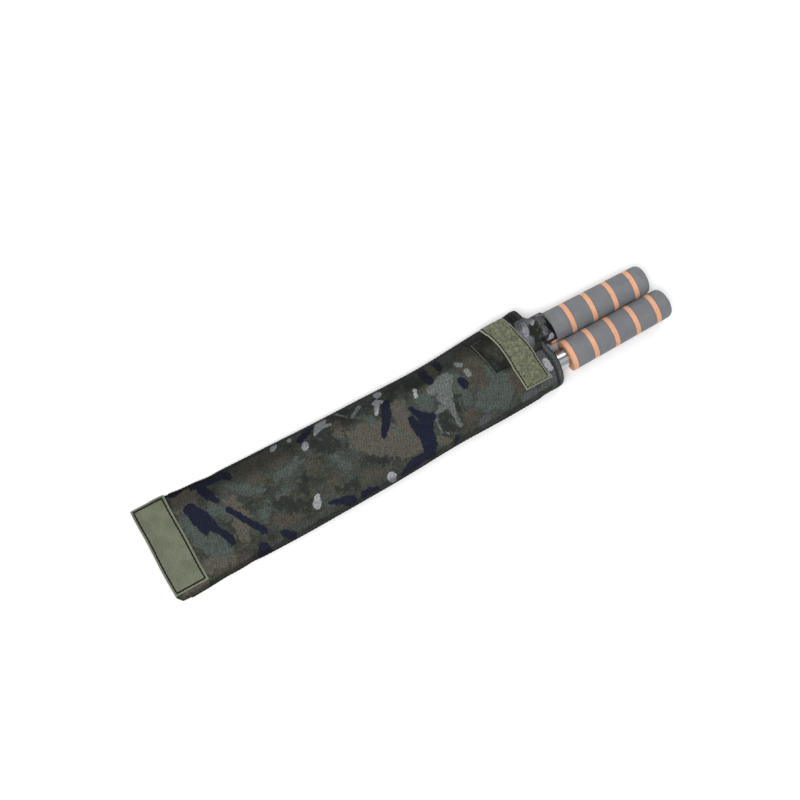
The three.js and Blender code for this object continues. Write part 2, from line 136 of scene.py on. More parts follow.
def place(points):
    """Millimetres in the design frame to metres in the row frame."""
    return (np.asarray(points, float) + (MOUTH_X, MIDDLE_Y, 0)) / 1000


def stick_axis(side):
    return STICK_MIDDLE + SIDES[side] * STICK_SPACING / 2


def unit(vectors):
    return vectors / np.maximum(np.linalg.norm(vectors, axis=-1, keepdims=True), 1e-9)


# ---- Meshes ----

def linked(name, data):
    obj = bpy.data.objects.new(name, data)
    bpy.context.collection.objects.link(obj)
    return obj


def piece(name, made, body, slot, finish, *nodes, sharp=40):
    """A new piece from (points, faces) in mm, riding on a body and standing for CAD nodes."""
    mesh = bpy.data.meshes.new(name)
    mesh.from_pydata(place(made[0]).tolist(), [], made[1])
    edited = bmesh.new()
    edited.from_mesh(mesh)
    bmesh.ops.recalc_face_normals(edited, faces=edited.faces)
    edited.to_mesh(mesh)
    edited.free()
    mesh.shade_smooth()
    mesh.set_sharp_from_angle(angle=math.radians(sharp))
    mesh.materials.append(finish)
    obj = linked(name, mesh)
    if nodes:
        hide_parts(*nodes)
    if body:
        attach(obj, body)
    return obj


def add_field(obj, name, values):
    attribute = obj.data.attributes.new(name, "FLOAT", "POINT")
    attribute.data.foreach_set("value", np.asarray(values, np.float32).ravel())


def grid_faces(rows, columns, wrap_rows, wrap_columns):
    i = np.arange(rows if wrap_rows else rows - 1)
    j = np.arange(columns if wrap_columns else columns - 1)
    i, j = [a.ravel() for a in np.meshgrid(i, j, indexing="ij")]
    i2, j2 = (i + 1) % rows, (j + 1) % columns
    corners = [i * columns + j, i2 * columns + j, i2 * columns + j2, i * columns + j2]
    return np.stack(corners, 1).tolist()


def rounded_edge(outer, inner, before, bulge=0.42):
    """Two rows that carry the cloth round from its outer to its inner face."""
    across = inner - outer
    out = unit(outer - before) * np.linalg.norm(across, axis=-1, keepdims=True) * bulge
    return [outer + 0.22 * across + out, outer + 0.78 * across + out]


def shell(outer, inner, ring=False):
    """A closed cloth: points and faces between two grids of points, with rounded ends."""
    rows, columns = outer.shape[:2]
    last = rounded_edge(outer[-1], inner[-1], outer[-2])
    first = rounded_edge(inner[0], outer[0], inner[1])
    loop = np.array([*outer, *last, *inner[::-1], *first])
    count = len(loop)
    faces = grid_faces(count, columns, True, ring)
    if not ring:
        for j in (0, columns - 1):
            at = [i * columns + j for i in range(count)]
            inside = at[rows + 2:rows + 2 + rows][::-1]
            for i in range(rows - 1):
                faces.append([at[i], inside[i], inside[i + 1], at[i + 1]])
            faces.append([at[rows - 1], inside[rows - 1], at[rows + 1], at[rows]])
            faces.append([at[0], at[count - 1], at[count - 2], inside[0]])
    return loop.reshape(-1, 3), faces


def tubes(paths, radii, ups, sides=6):
    """Points and faces of many round threads at once. paths is an array (threads, points, 3)."""
    paths = np.asarray(paths, float)
    threads, count = paths.shape[:2]
    along = unit(np.gradient(paths, axis=1))
    side = unit(np.cross(along, np.broadcast_to(ups, paths.shape)))
    up = np.cross(side, along)
    angle = np.arange(sides) * math.tau / sides
    radii = np.broadcast_to(radii, (threads, count))[:, :, None, None]
    ring = (np.cos(angle)[:, None] * side[:, :, None, :]
            + np.sin(angle)[:, None] * up[:, :, None, :])
    points = (paths[:, :, None, :] + radii * ring).reshape(-1, 3)
    one = np.array(grid_faces(count, sides, False, True))
    starts = np.arange(threads) * count * sides
    faces = (one[None] + starts[:, None, None]).reshape(-1, 4).tolist()
    for start in starts.tolist():
        end = start + (count - 1) * sides
        faces.append(list(range(start, start + sides)))
        faces.append(list(range(end + sides - 1, end - 1, -1)))
    return points, faces


def joined(*parts):
    """Several (points, faces) as one."""
    points, faces, start = [], [], 0
    for some_points, some_faces in parts:
        points.append(np.asarray(some_points, float))
        faces += [[k + start for k in face] for face in some_faces]
        start += len(some_points)
    return np.concatenate(points), faces


def softened(profile, radius, steps=3):
    """A closed outline of (x, radius) pairs with each corner rounded off."""
    corners = [Vector(p) for p in profile]
    made = []
    for k, corner in enumerate(corners):
        before, after = corners[k - 1] - corner, corners[(k + 1) % len(corners)] - corner
        reach = min(radius, before.length * 0.4, after.length * 0.4)
        start, end = corner + before.normalized() * reach, corner + after.normalized() * reach
        for step in range(steps + 1):
            t = step / steps
            made.append(start.lerp(corner, t).lerp(corner.lerp(end, t), t))
    return [tuple(p) for p in made]


def turned(profile, y, closed=True, sides=64):
    """Points and faces of an outline of (x, radius) pairs turned about a stick's axis."""
    outline = np.array(profile, float)
    angle = np.arange(sides) * math.tau / sides
    points = np.stack([
        np.broadcast_to(outline[:, :1], (len(outline), sides)),
        y + outline[:, 1:] * np.sin(angle),
        AXIS_HEIGHT + outline[:, 1:] * np.cos(angle),
    ], -1)
    faces = grid_faces(len(outline), sides, closed, True)
    if not closed:
        end = (len(outline) - 1) * sides
        faces += [list(range(sides)), list(range(end + sides - 1, end - 1, -1))]
    return points.reshape(-1, 3), faces


# ---- The sheath's form ----

wide_waves = waves(7, 9, 60, 130)
fine_waves = waves(11, 14, 16, 34, 1.6)
seam_waves = waves(5, 6, 9, 15)


def relief(x, y, share):
    """How far the cloth stands off its plain form: dips, creases and puckers at the seams."""
    thick = np.clip((through(TOP_HEIGHTS, x) - 6) / 14, 0.12, 1)
    soft = wide_waves(x, y) * 0.75 + fine_waves(x, y) * 0.22
    near_seam = eased((np.abs(share) - 0.72) / 0.2) * (1 - eased((np.abs(share) - 0.97) / 0.03))
    ridges = np.exp(-((np.abs(y) - 16) / 7) ** 2) - 0.8 * np.exp(-(y / 8) ** 2)
    over_tubes = 0.6 * ridges * eased((x + 165) / 25)
    return thick * (soft + over_tubes + near_seam * seam_waves(x, y * 0.3) * 0.35)


def sheath_at(x):
    away = (x - BOW_MIDDLE) / BOW_MIDDLE
    centre = MOUTH_OFFSET - SHEATH_BOW + SHEATH_BOW * away * away
    # a few slack places pull the outline in or let it out a little
    slack = 0.5 * np.sin(x / 23 + 0.7) * np.sin(x / 61) - 0.9 * np.exp(-((x + 341) / 9) ** 2)
    flare = 0.8 * eased((TAIL + 36 - x) / 30)  # the tail spreads a little under its tape
    half = through(HALF_WIDTHS, x) + slack + flare
    return centre - flare, half, through(TOP_HEIGHTS, x), through(SEAM_HEIGHTS, x)


def front_point(x, turn, lift=0.0):
    """A point of the crowned front. turn goes from -1 at the right seam to 1 at the left."""
    x, turn = np.broadcast_arrays(np.asarray(x, float), np.asarray(turn, float))
    centre, half, top, seam = sheath_at(x)
    angle = turn * math.pi / 2
    across = np.sign(turn) * np.abs(np.sin(angle)) ** CROWN
    rise = np.clip(np.cos(angle), 0, 1) ** CROWN
    edge = seam + GAP / 2
    y = centre + (half + lift) * across
    bumps = relief(x, y, across) * eased(rise * 3)
    return np.stack([x, y, edge + (top + lift - edge) * rise + bumps], -1)


def back_point(x, turn, inset=0.0):
    x, turn = np.broadcast_arrays(np.asarray(x, float), np.asarray(turn, float))
    centre, half, _, seam = sheath_at(x)
    across = np.sin(turn * math.pi / 2)
    corner = np.clip((np.abs(across) - FLAT_SHARE) / (1 - FLAT_SHARE), 0, 1)
    rise = 1 - np.sqrt(1 - corner * corner)
    edge = seam - GAP / 2
    y = centre + (half - inset) * across
    return np.stack([x, y, inset + (edge - inset) * rise], -1)


def turn_at(x, y):
    """The turn at which the front reaches a given y."""
    centre, half, _, _ = sheath_at(np.asarray(x, float))
    across = np.clip((y - centre) / half, -1, 1)
    return np.sign(across) * np.arcsin(np.abs(across) ** (1 / CROWN)) * 2 / math.pi


def on_front(x, y, lift=0.0):
    return front_point(x, turn_at(x, y), lift)


def rim_reach(y, share):
    """How far the mouth's rim stands past x = 0. It is skew, and bellied on the right."""
    skew = 3.3 - 0.0728 * (y + 39.5)
    belly = 5.6 * np.exp(-((y + 16) / 24) ** 2) * (1 - share ** 6)
    return skew + belly


def to_rim(points, share, belly=True):
    """Moves points near the mouth along X, so that x = 0 lands on the rim, and cuts the corner
    of the tail that is next to the hook tape."""
    moved = points.copy()
    x, y = points[..., 0], points[..., 1]
    reach = rim_reach(y, share if belly else np.ones_like(share))
    corner = np.clip((TAIL_CORNER_Y - y) * 0.8, 0, 5)
    moved[..., 0] = x + reach * eased(1 + x / 45) + corner * eased((TAIL + 16 - x) / 16)
    return moved


# ---- The printed pattern ----
# Each layer of the print is a list of blobs. A blob is a chain of (x, y, radius), in mm, and
# each vertex carries its distance to the nearest blob of each layer.

FRONT_PRINT = {
    "brown": [
        [(-304, 32, 9), (-302, 18, 7)], [(-282, 31, 8), (-270, 28, 6)], [(-250, 5, 7)],
        [(-328, 28, 4), (-318, 31, 4)], [(-300, -26, 7), (-288, -30, 6)], [(-208, -27, 5),
        (-195, -33, 5)], [(-242, -20, 5), (-236, -14, 4)], [(-72, 24, 9), (-70, 6, 12),
        (-68, -8, 7)], [(-92, -22, 6), (-98, -30, 4)], [(-113, 33, 6), (-104, 34, 5)],
        [(-372, -38, 9), (-350, -42, 7)], [(-42, -10, 6), (-38, -26, 6)]
    ],
    "taupe": [
        [(-376, 36, 10), (-360, 38, 8)], [(-420, -45, 6), (-390, -45, 6)], [(-334, 12, 7),
        (-331, -8, 8), (-338, -22, 6)], [(-196, 6, 13), (-180, -4, 18), (-163, -16, 16),
        (-153, -24, 9)], [(-152, 16, 7), (-153, 0, 8)], [(-132, -32, 5), (-126, -36, 4)],
        [(-360, -30, 8), (-380, -30, 7)], [(-210, 30, 4), (-214, 20, 5)]
    ],
    "green": [
        [(-380, 16, 6), (-373, -6, 10), (-362, -18, 10)], [(-350, 18, 6), (-344, 6, 5)],
        [(-334, 31, 3), (-319, 22, 4), (-306, 10, 5)], [(-284, 14, 4), (-272, 12, 6),
        (-261, 17, 4)], [(-278, -2, 4), (-290, -4, 3)], [(-93, 13, 7), (-91, -8, 8)], [(-126, 8, 9),
        (-119, 14, 5)], [(-72, -18, 12), (-60, -20, 13), (-52, -8, 8), (-55, 4, 5)], [(-181, 16, 4),
        (-186, 24, 3)], [(-165, 0, 1.6), (-157, -14, 2.4), (-151, -26, 1.8)], [(-246, 36, 4),
        (-240, 30, 3)], [(-312, -14, 5), (-304, -6, 4)], [(-228, 4, 4), (-222, -10, 5)]
    ],
    "dark": [
        [(-118, -14, 6), (-118, -26, 5)], [(-131, 35, 7), (-124, 28, 5)], [(-40, 24, 5),
        (-41, 0, 4)], [(-148, 37, 5), (-142, 34, 4)], [(-296, -10, 5), (-284, -18, 7),
        (-268, -26, 5)], [(-236, 20, 6), (-222, 14, 7)], [(-262, 0, 4), (-266, -10, 5)],
        # the second blob on the next line, a dark band along the left edge by the mouth, is painted
        # shade
        [(-206, 38, 5), (-196, 36, 4)], [(-60, 38, 5), (-40, 39, 6), (-14, 40, 7), (0, 38, 7)],
        [(-98, -2, 3), (-101, -12, 4)], [(-222, -30, 5), (-238, -26, 3)], [(-186, -24, 4),
        (-196, -18, 3)]
    ],
    "pale": [
        [(-115, 14, 4.6), (-104, 17, 6.5), (-98, 17, 6.2)], [(-104, 14, 8), (-107, 3, 7.4),
        (-109, -4, 5)], [(-107, -2, 4.5), (-107, -12, 2.6), (-107, -28, 1.9)], [(-112, -4, 3.2),
        (-121, -7, 1.8)], [(-123, -8, 1), (-126.5, -16, 0.9), (-126, -26, 0.9), (-121, -29, 0.9)]
    ],
    "grey": [
        [(-39, -34, 4), (-27, -35, 3.5)], [(-86, -36, 4), (-78, -34, 3.5)], [(-14, -34, 5),
        (4, -26, 9)], [(-6, -2, 7), (6, -8, 8), (6, 10, 7)], [(-8, 22, 4), (-2, 30, 4)],
        [(4, -14, 6), (8, -20, 6)]
    ],
    "navy": [
        [(-370, 25, 6.5), (-366, 14, 8.6), (-361, 4, 6), (-355.5, -5, 3), (-351, -13, 3.8),
        (-349.5, -21, 3.4)], [(-367, 4, 4.6), (-367.5, -2, 2.6)], [(-358, 44, 4), (-345, 42, 5),
        (-330, 41, 5), (-324, 36, 4)], [(-352, 38, 5), (-348, 28, 4.2), (-344.5, 21, 3)],
        [(-338, 8, 3), (-328, -9, 3.2), (-318, -26, 3.5)], [(-326, -39, 5.2), (-327, -46, 8)],
        [(-303, -37, 3.5), (-297, -43, 4.5)], [(-248, 33, 3.2), (-235, 38, 3.6)], [(-253, -33, 1.4),
        (-241, -36, 3), (-232, -41, 5.5)], [(-218, -42, 4.5), (-207, -44, 5)], [(-159, 26, 3),
        (-165, 14, 4.8), (-172, 3, 3.8), (-178, -3, 1.8)], [(-146, -1, 3.8), (-145, -12, 4.6),
        (-143, -24, 4.8), (-144, -37, 6.5)], [(-142, 9.5, 2.2), (-138, 1, 3.4), (-134.5, -8, 7.6),
        (-139, -18, 6.5), (-141, -32, 6.5)], [(-134, -8, 6), (-127, -8, 3.8)], [(-144, -38, 4),
        (-156, -37, 4), (-166, -40, 5.4), (-175, -43, 4)], [(-115, 39, 4.8), (-114, 29, 4),
        (-112, 23.5, 4.4)], [(-99, 37, 3.5), (-98, 30, 3.2)], [(-87, 10, 3.2), (-85, 4, 4)],
        [(-120, -42, 1.8), (-114, -36, 2.4)], [(-381, 47, 3), (-370, 46, 2.4)]
    ],
    "pebble": [
        [(-275, 38.5, 2.5), (-272, 40, 2.6)], [(-256.5, 38, 2.4)], [(-247.5, 25, 3.4),
        (-246, 26.5, 3.4)], [(-233, 31, 1.4), (-226, 36, 4.2), (-219, 39, 2.2)], [(-224, 35, 2.6),
        (-215, 32, 1)], [(-258.5, -22, 2.6), (-263, -28.5, 4.4)], [(-188, -40, 4.6)],
        [(-162, 37, 4)], [(-170, 30, 1.8), (-162, 28, 2)], [(-167, 29, 2.8), (-173, 20, 1.8)],
        [(-129.5, 21.5, 2.4), (-131.5, 17, 2.2)], [(-5, -12.5, 2.8), (-4, -20, 3.2)]
    ],
    "ash": [
        [(-82.5, 26, 2.2), (-79, 23, 2.6)], [(-77.5, 14.5, 2.8), (-77, 11, 2.5)], [(-207, 40, 0.8),
        (-199, 31, 0.8)], [(-194, 29, 1.5), (-183, 34, 1.6)]
    ],
}
STRAP_PRINT = {
    "green": [[(-3, 8, 5), (8, 8, 6)], [(-56, 4, 6), (-58, 12, 5)]],
    "dark": [
        [(1, 13, 5.4), (-3, 15, 4.4)], [(2, 20, 4.4), (5, 28, 2.4)], [(-4, 8, 3), (3, 8, 3.4)],
        [(-12, 12, 2), (-9, 24, 1.4)]
    ],
    "pale": [[(-9, 17, 2), (-6, 28, 3)], [(1, 30, 3.6), (2, 31, 3.6)]],
    "grey": [
        [(-12, 6, 5), (-12, 20, 5), (-8, 30, 6), (1, 32, 5)], [(8.5, 12, 2.6), (10, 20, 3.6),
        (12, 31, 5)]
    ],
    "navy": [[(16, 23, 1), (15, 13, 3.4), (17, 9, 2.6)]],
    "pebble": [[(8, 4.6, 1), (12.5, 5.6, 2.6)], [(13, 6.5, 2.4)]],
    "ash": [[(12, 31, 2), (15, 28, 1)], [(2, 25, 2), (5, 27, 1.4)]],
}
FAR = 30.0


def scattered(seed):
    """A random print in the same style, for the back, which isn't copied from anything."""
    own = np.random.default_rng(seed)
    amounts = {
        "brown": (26, 7, 16), "taupe": (16, 9, 20), "green": (22, 6, 18), "dark": (20, 5, 14),
        "pale": (6, 4, 12), "grey": (4, 4, 10), "navy": (20, 3.6, 16), "pebble": (15, 2.4, 5),
        "ash": (5, 2.6, 4),
    }
    print_layers = {}
    for layer, (count, radius, length) in amounts.items():
        chains = []
        for _ in range(count):
            x, y = own.uniform(TAIL, 0), own.uniform(-48, 48)
            heading = own.uniform(0, math.tau)
            chain = []
            for _ in range(4):
                chain.append((x, y, radius * own.uniform(0.6, 1.15)))
                heading += own.uniform(-0.9, 0.9)
                x += math.cos(heading) * length / 3
                y += math.sin(heading) * length / 3
            chains.append(chain)
        print_layers[layer] = chains
    return print_layers


def distance_to(chains, x, y):
    nearest = np.full(np.shape(x), FAR)
    for chain in chains:
        pairs = list(zip(chain, chain[1:])) or [(chain[0], chain[0])]
        for (x0, y0, r0), (x1, y1, r1) in pairs:
            dx, dy = x1 - x0, y1 - y0
            along = ((x - x0) * dx + (y - y0) * dy) / max(dx * dx + dy * dy, 1e-9)
            along = np.clip(along, 0, 1)
            away = np.hypot(x - x0 - along * dx, y - y0 - along * dy)
            nearest = np.minimum(nearest, away - (r0 + (r1 - r0) * along))
    return nearest


def printed(obj, prints, points, seam):
    """Gives a piece its print, and seam, each point's distance to the nearest sewn edge, which sets
    how much painted shade the cloth gets there.
    """
    for layer in FRONT_PRINT:
        add_field(obj, layer, distance_to(prints.get(layer, []), points[:, 0], points[:, 1]))
    add_field(obj, "seam", seam)


# ---- Materials ----

STITCH_IN = 2.7  # how far the hook tape's stitching is from its border, mm
LIGHT = 1.12  # what a white surface facing up gives back under this scene's light


def shade(red, green, blue):
    """The surface colour that shows as this 8-bit display colour under the scene's light."""
    display = np.array([red, green, blue]) / 255
    plain = np.where(display <= 0.04045, display / 12.92, ((display + 0.055) / 1.055) ** 2.4)
    return (*np.clip(plain / LIGHT, 0, 1).tolist(), 1.0)


class Surface:
    """A material being made: its shader, and short ways to add nodes to it."""

    def __init__(self, name, **settings):
        self.material = bpy.data.materials.new(name)
        self.material.use_nodes = True
        self.tree = self.material.node_tree
        self.shader = self.tree.nodes["Principled BSDF"]
        for socket, value in settings.items():
            self.shader.inputs[socket.replace("_", " ")].default_value = value
        self.coords = self.tree.nodes.new("ShaderNodeTexCoord").outputs["Object"]

    def node(self, kind, inputs, **settings):
        made = self.tree.nodes.new("ShaderNode" + kind)
        for key, value in settings.items():
            setattr(made, key, value)
        for key, value in inputs.items():
            if isinstance(value, bpy.types.NodeSocket):
                self.tree.links.new(value, made.inputs[key])
            else:
                made.inputs[key].default_value = value
        return made

    def set(self, socket, value):
        self.tree.links.new(value, self.shader.inputs[socket])

    def finished(self, colour, normal):
        self.set("Base Color", colour)
        self.set("Normal", normal)
        return self.material

    def scaled(self, stretch, turn=0.0):
        mapping = {"Vector": self.coords, "Scale": stretch, "Rotation": (0, 0, turn)}
        return self.node("Mapping", mapping).outputs[0]

    def noise(self, size, detail, stretch=(1, 1, 1)):
        """Noise from 0 to 1 whose lumps are about size millimetres across."""
        inputs = {"Vector": self.scaled(stretch), "Scale": 1000 / size, "Detail": detail}
        return self.node("TexNoise", inputs).outputs[0]

    def ribs(self, pitch, turn=0.0, wander=0.0):
        """Parallel ribs across the piece, pitch millimetres apart."""
        inputs = {"Vector": self.scaled((1, 1, 1), turn), "Scale": math.tau / (0.02 * pitch),
                  "Distortion": wander, "Detail Scale": 2.0}
        return self.node("TexWave", inputs).outputs["Fac"]

    def field(self, name):
        return self.node("Attribute", {}, attribute_name=name).outputs["Fac"]

    def maths(self, operation, first, second=0.0, third=0.0):
        return self.node("Math", {0: first, 1: second, 2: third}, operation=operation).outputs[0]

    def between(self, value, low, high, to_low=0.0, to_high=1.0):
        inputs = {0: value, 1: low, 2: high, 3: to_low, 4: to_high}
        return self.node("MapRange", inputs, interpolation_type="SMOOTHSTEP").outputs[0]

    def mix(self, share, first, second, blend="MIX"):
        """A mix of two colours. A tuple is a display colour, as in shade()."""
        first, second = (shade(*c) if isinstance(c, tuple) else c for c in (first, second))
        inputs = {0: share, 6: first, 7: second}
        return self.node("Mix", inputs, data_type="RGBA", blend_type=blend).outputs[2]

    def patchy(self, size, detail, low, high, first, second):
        """One colour that turns into another over lumps of noise."""
        return self.mix(self.between(self.noise(size, detail), low, high), first, second)

    def layered(self, colour, *layers):
        """The colour under other colours. Each layer has a value, the range of it over which the
        layer's share changes, the share before and after that range, and its colour."""
        for value, low, high, before, after, ink in layers:
            colour = self.mix(self.between(value, low, high, before, after), colour, ink)
        return colour

    def varied(self, colour, *changes):
        """The colour made darker and lighter by 0 to 1 values, each with its two factors."""
        for value, low, high in changes:
            grey = self.between(value, 0.25, 0.75, low, high)
            both = self.node("CombineColor", {0: grey, 1: grey, 2: grey}).outputs[0]
            colour = self.mix(1.0, colour, both, "MULTIPLY")
        return colour

    def bump(self, height, depth, below=None):
        """A bump of depth millimetres."""
        inputs = {"Height": height, "Distance": depth / 1000, "Strength": 1.0}
        if below:
            inputs["Normal"] = below
        return self.node("Bump", inputs).outputs[0]


PRINT_INKS = [  # layer, colour, how ragged its edge is and how soft, in mm, and how opaque
    ("brown", (78, 74, 64), 13.0, 1.8, 0.85),
    ("taupe", (92, 88, 79), 9.0, 1.2, 0.95),
    ("green", (80, 89, 84), 12.0, 1.2, 0.9),
    ("dark", (44, 48, 44), 12.0, 1.2, 0.85),
    ("grey", (86, 89, 92), 8.0, 1.2, 0.85),
    ("pale", (106, 113, 109), 3.5, 0.7, 0.9),
    ("ash", (126, 133, 132), 2.4, 0.5, 0.95),
    ("navy", (28, 33, 50), 2.4, 0.5, 1.0),
    ("pebble", (160, 164, 166), 2.0, 0.4, 1.0),
]
STRAP_INKS = {  # the strap is cut from a harder part of the print, with stronger colours
    "dark": (34, 37, 34), "grey": (118, 120, 127), "pale": (148, 150, 157), "navy": (20, 22, 38),
    "pebble": (206, 202, 218), "ash": (158, 160, 166), "green": (66, 76, 71),
}


def print_material(name, ground, mottle, own_inks={}):
    """Printed twill. Its ground is mottled, and each ink lies over the ones before it."""
    s = Surface(name, Roughness=0.95, Sheen_Weight=0.02, Specular_IOR_Level=0.15)
    leaf, grain, lobes = s.noise(9, 4, (1, 1.3, 1)), s.noise(1.6, 3), s.noise(6, 3, (1.5, 1, 1))
    colour = s.layered(
        s.patchy(20, 3, 0.4, 0.6, ground, mottle), (leaf, 0.54, 0.6, 0, 0.7, (76, 78, 68)),
        (lobes, 0.58, 0.64, 0, 0.6, (68, 80, 74)), (leaf, 0.38, 0.44, 0.7, 0, (46, 50, 46)))
    fine = s.maths("MULTIPLY_ADD", grain, 2.4, -1.2)
    for number, (layer, ink, ragged, soft, opacity) in enumerate(PRINT_INKS):
        edge = lobes if number % 2 else leaf
        wobble = s.maths("MULTIPLY_ADD", edge, 2 * ragged, -ragged)
        distance = s.maths("ADD", s.maths("ADD", s.field(layer), wobble), fine)
        ink = own_inks.get(layer, ink)
        colour = s.layered(colour, (distance, -soft, soft, opacity, 0, ink))
    twill, cord, seam = s.ribs(1.15, 0.95, 0.6), s.ribs(2.7, 0.35, 1.6), s.field("seam")
    # last, painted shade: the cloth is made darker near a seam, where it turns under, and darkest
    # in the seam itself
    colour = s.varied(
        colour, (s.noise(1.3, 2), 0.52, 1.14), (s.noise(4.5, 3), 0.88, 1.1), (twill, 0.88, 1.1),
        (cord, 0.93, 1.07), (s.between(seam, 0, 18), 0.5, 1), (s.between(seam, 0.3, 2.0), 0.3, 1))
    normal = s.bump(s.ribs(0.62, -0.6, 0.3), 0.06, s.bump(twill, 0.16, s.bump(cord, 0.16)))
    return s.finished(colour, s.bump(s.noise(2.6, 4), 0.3, normal))


def hook_tape_material():
    """Olive tape, paler at its woven edge, with painted shade along the line where the needle has
    pulled it down.
    """
    s = Surface("hook_tape_weave", Roughness=0.75, Specular_IOR_Level=0.3)
    edge = s.field("border")
    # painted shade: the tape is dark within about a millimetre of its line of stitching
    groove_shade = s.maths("ABSOLUTE", s.maths("SUBTRACT", edge, STITCH_IN))
    weave = s.maths("MULTIPLY", s.ribs(0.9), s.ribs(0.9, math.pi / 2))
    colour = s.layered(
        s.patchy(14, 3, 0.3, 0.7, (110, 115, 96), (125, 129, 109)),
        (edge, 0.25, 0.75, 1, 0, (134, 138, 118)), (groove_shade, 0.5, 1.1, 0.85, 0, (34, 36, 30)))
    colour = s.varied(colour, (s.noise(0.9, 2), 0.8, 1.16), (s.ribs(2.3, 0.7, 3.5), 0.93, 1.06),
                      (weave, 0.9, 1.08))
    return s.finished(colour, s.bump(s.noise(0.5, 2), 0.05, s.bump(weave, 0.12)))


def hook_material():
    s = Surface("moulded_hooks", Roughness=0.5)
    colour = s.varied(
        s.patchy(14, 3, 0.3, 0.7, (114, 118, 97), (133, 137, 115)),
        (s.ribs(2.3, 0.7, 3.5), 0.9, 1.09), (s.noise(2.4, 3), 0.82, 1.18),
        (s.noise(1.1, 2), 0.62, 1.28))
    return s.finished(colour, s.bump(s.noise(0.3, 1), 0.02))


def loop_tape_material():
    s = Surface("loop_tape_weave", Roughness=0.9, Sheen_Weight=0.2)
    edge, cross = s.field("border"), s.ribs(0.8, math.pi / 2)
    colour = s.layered(
        s.patchy(2.4, 3, 0.35, 0.65, (94, 97, 76), (118, 121, 98)),
        (edge, 1.5, 2.3, 1, 0, (96, 100, 80)), (edge, 0.35, 0.85, 1, 0, (162, 164, 140)))
    return s.finished(s.varied(colour, (cross, 0.9, 1.06)),
                      s.bump(s.noise(0.8, 3), 0.15, s.bump(cross, 0.1)))


def pile_material():
    s = Surface("loop_pile", Roughness=0.75, Sheen_Weight=0.35)
    colour = s.mix(s.between(s.field("tint"), 0.1, 0.9), (84, 88, 62), (152, 155, 122))
    colour = s.varied(colour, (s.noise(3.2, 3), 0.46, 1.3))
    return s.finished(colour, s.bump(s.noise(0.25, 1), 0.03))


def thread_material(name, colour, light):
    s = Surface(name, Roughness=0.85, Specular_IOR_Level=0.15)
    ply = s.ribs(0.35, 0.8)
    plain = s.patchy(3, 2, 0.3, 0.7, colour, light)
    return s.finished(s.varied(plain, (ply, 0.8, 1.1)), s.bump(ply, 0.06))


def foam_material(name, colour, light, speck_and_joint_shade, fleck):
    """Closed-cell foam: fine pores, faint flecks and scuffs from handling, and painted shade in the
    joints at each piece's ends.
    """
    s = Surface(name, Sheen_Weight=0.05, Specular_IOR_Level=0.35)
    cells = s.node("TexVoronoi", {"Vector": s.coords, "Scale": 1400.0}).outputs["Distance"]
    plain = s.layered(s.patchy(11, 3, 0.35, 0.65, colour, light),
                      (s.noise(5, 5), 0.6, 0.72, 0, fleck, speck_and_joint_shade))
    # painted shade: each piece is darker within about a millimetre of its ends, in the joints
    # between pieces
    plain = s.layered(s.varied(plain, (cells, 1.05, 0.94)),
                      (s.field("edge"), 0.0, 1.2, 0.35, 0, speck_and_joint_shade))
    s.set("Roughness", s.between(s.noise(4, 3), 0.3, 0.7, 0.7, 0.86))
    return s.finished(plain, s.bump(s.noise(0.9, 3), 0.06, s.bump(cells, 0.07)))


def tube_material():
    """Drawn and polished steel, with bright and dark lines along it: partly drawn grain, partly
    painted reflection streaks.
    """
    s = Surface("polished_tube", Metallic=1.0, Anisotropic=0.5)
    lines, fine = s.noise(2.2, 3, (0.02, 1, 1)), s.noise(0.5, 2, (0.015, 1, 1))
    # the lines are partly drawn grain and partly painted reflection streaks, in the metal's colour
    colour = s.mix(s.between(lines, 0.35, 0.66), (128, 134, 138), (236, 238, 239))
    colour = s.layered(s.varied(colour, (fine, 0.9, 1.06)),
                       (s.noise(7, 4), 0.62, 0.75, 0, 0.3, (120, 122, 122)))
    s.set("Roughness", s.between(s.noise(3, 3, (0.1, 1, 1)), 0.3, 0.7, 0.14, 0.3))
    return s.finished(colour, s.bump(fine, 0.012))


def fitting_material():
    """Turned steel of the swivel's fittings and the chain, a little dull with oil."""
    s = Surface("turned_fittings", Metallic=1.0)
    grooves = s.noise(0.5, 2, (1, 0.05, 0.05))
    colour = s.patchy(4, 4, 0.4, 0.7, (176, 178, 180), (138, 137, 132))
    s.set("Roughness", s.between(s.noise(2, 3), 0.3, 0.7, 0.24, 0.42))
    return s.finished(s.varied(colour, (grooves, 0.9, 1.06)),
                      s.bump(s.noise(0.8, 3), 0.02, s.bump(grooves, 0.015)))


def plug_material():
    s = Surface("moulded_plug")
    colour = s.patchy(6, 3, 0.4, 0.7, (40, 41, 46), (58, 59, 63))
    s.set("Roughness", s.between(s.noise(3, 3), 0.3, 0.7, 0.4, 0.62))
    colour = s.varied(colour, (s.noise(0.5, 2), 0.9, 1.1))
    return s.finished(colour, s.bump(s.noise(0.45, 2), 0.04))


CAMO = print_material("camo_print", (66, 71, 66), (60, 62, 54))
STRAP_CAMO = print_material("camo_strap_print", (62, 59, 50), (56, 53, 45), STRAP_INKS)
HOOK_TAPE, HOOKS = hook_tape_material(), hook_material()
LOOP_TAPE, PILE = loop_tape_material(), pile_material()
DARK_THREAD = thread_material("dark_thread", (16, 18, 16), (30, 32, 28))
EDGE_THREAD = thread_material("edge_thread", (26, 28, 26), (40, 42, 38))
PALE_THREAD = thread_material("pale_thread", (104, 107, 92), (128, 131, 114))
FOAM = foam_material("grip_foam", (112, 114, 118), (120, 121, 123), (104, 106, 112), 0.5)
RING_FOAM = foam_material("grip_ring_foam", (224, 166, 129), (231, 178, 146), (200, 136, 101), 0.6)
TUBE, FITTING, PLUG = tube_material(), fitting_material(), plug_material()


# ---- Camera and light: the camera comes before every piece ----

CAMERA_ANGLES = -53.228, 80.93, 24.604  # azimuth, elevation and roll, in degrees
CAMERA_AIM = -142.79, 23.48, 0
CAMERA_DISTANCE = 1.36385  # metres


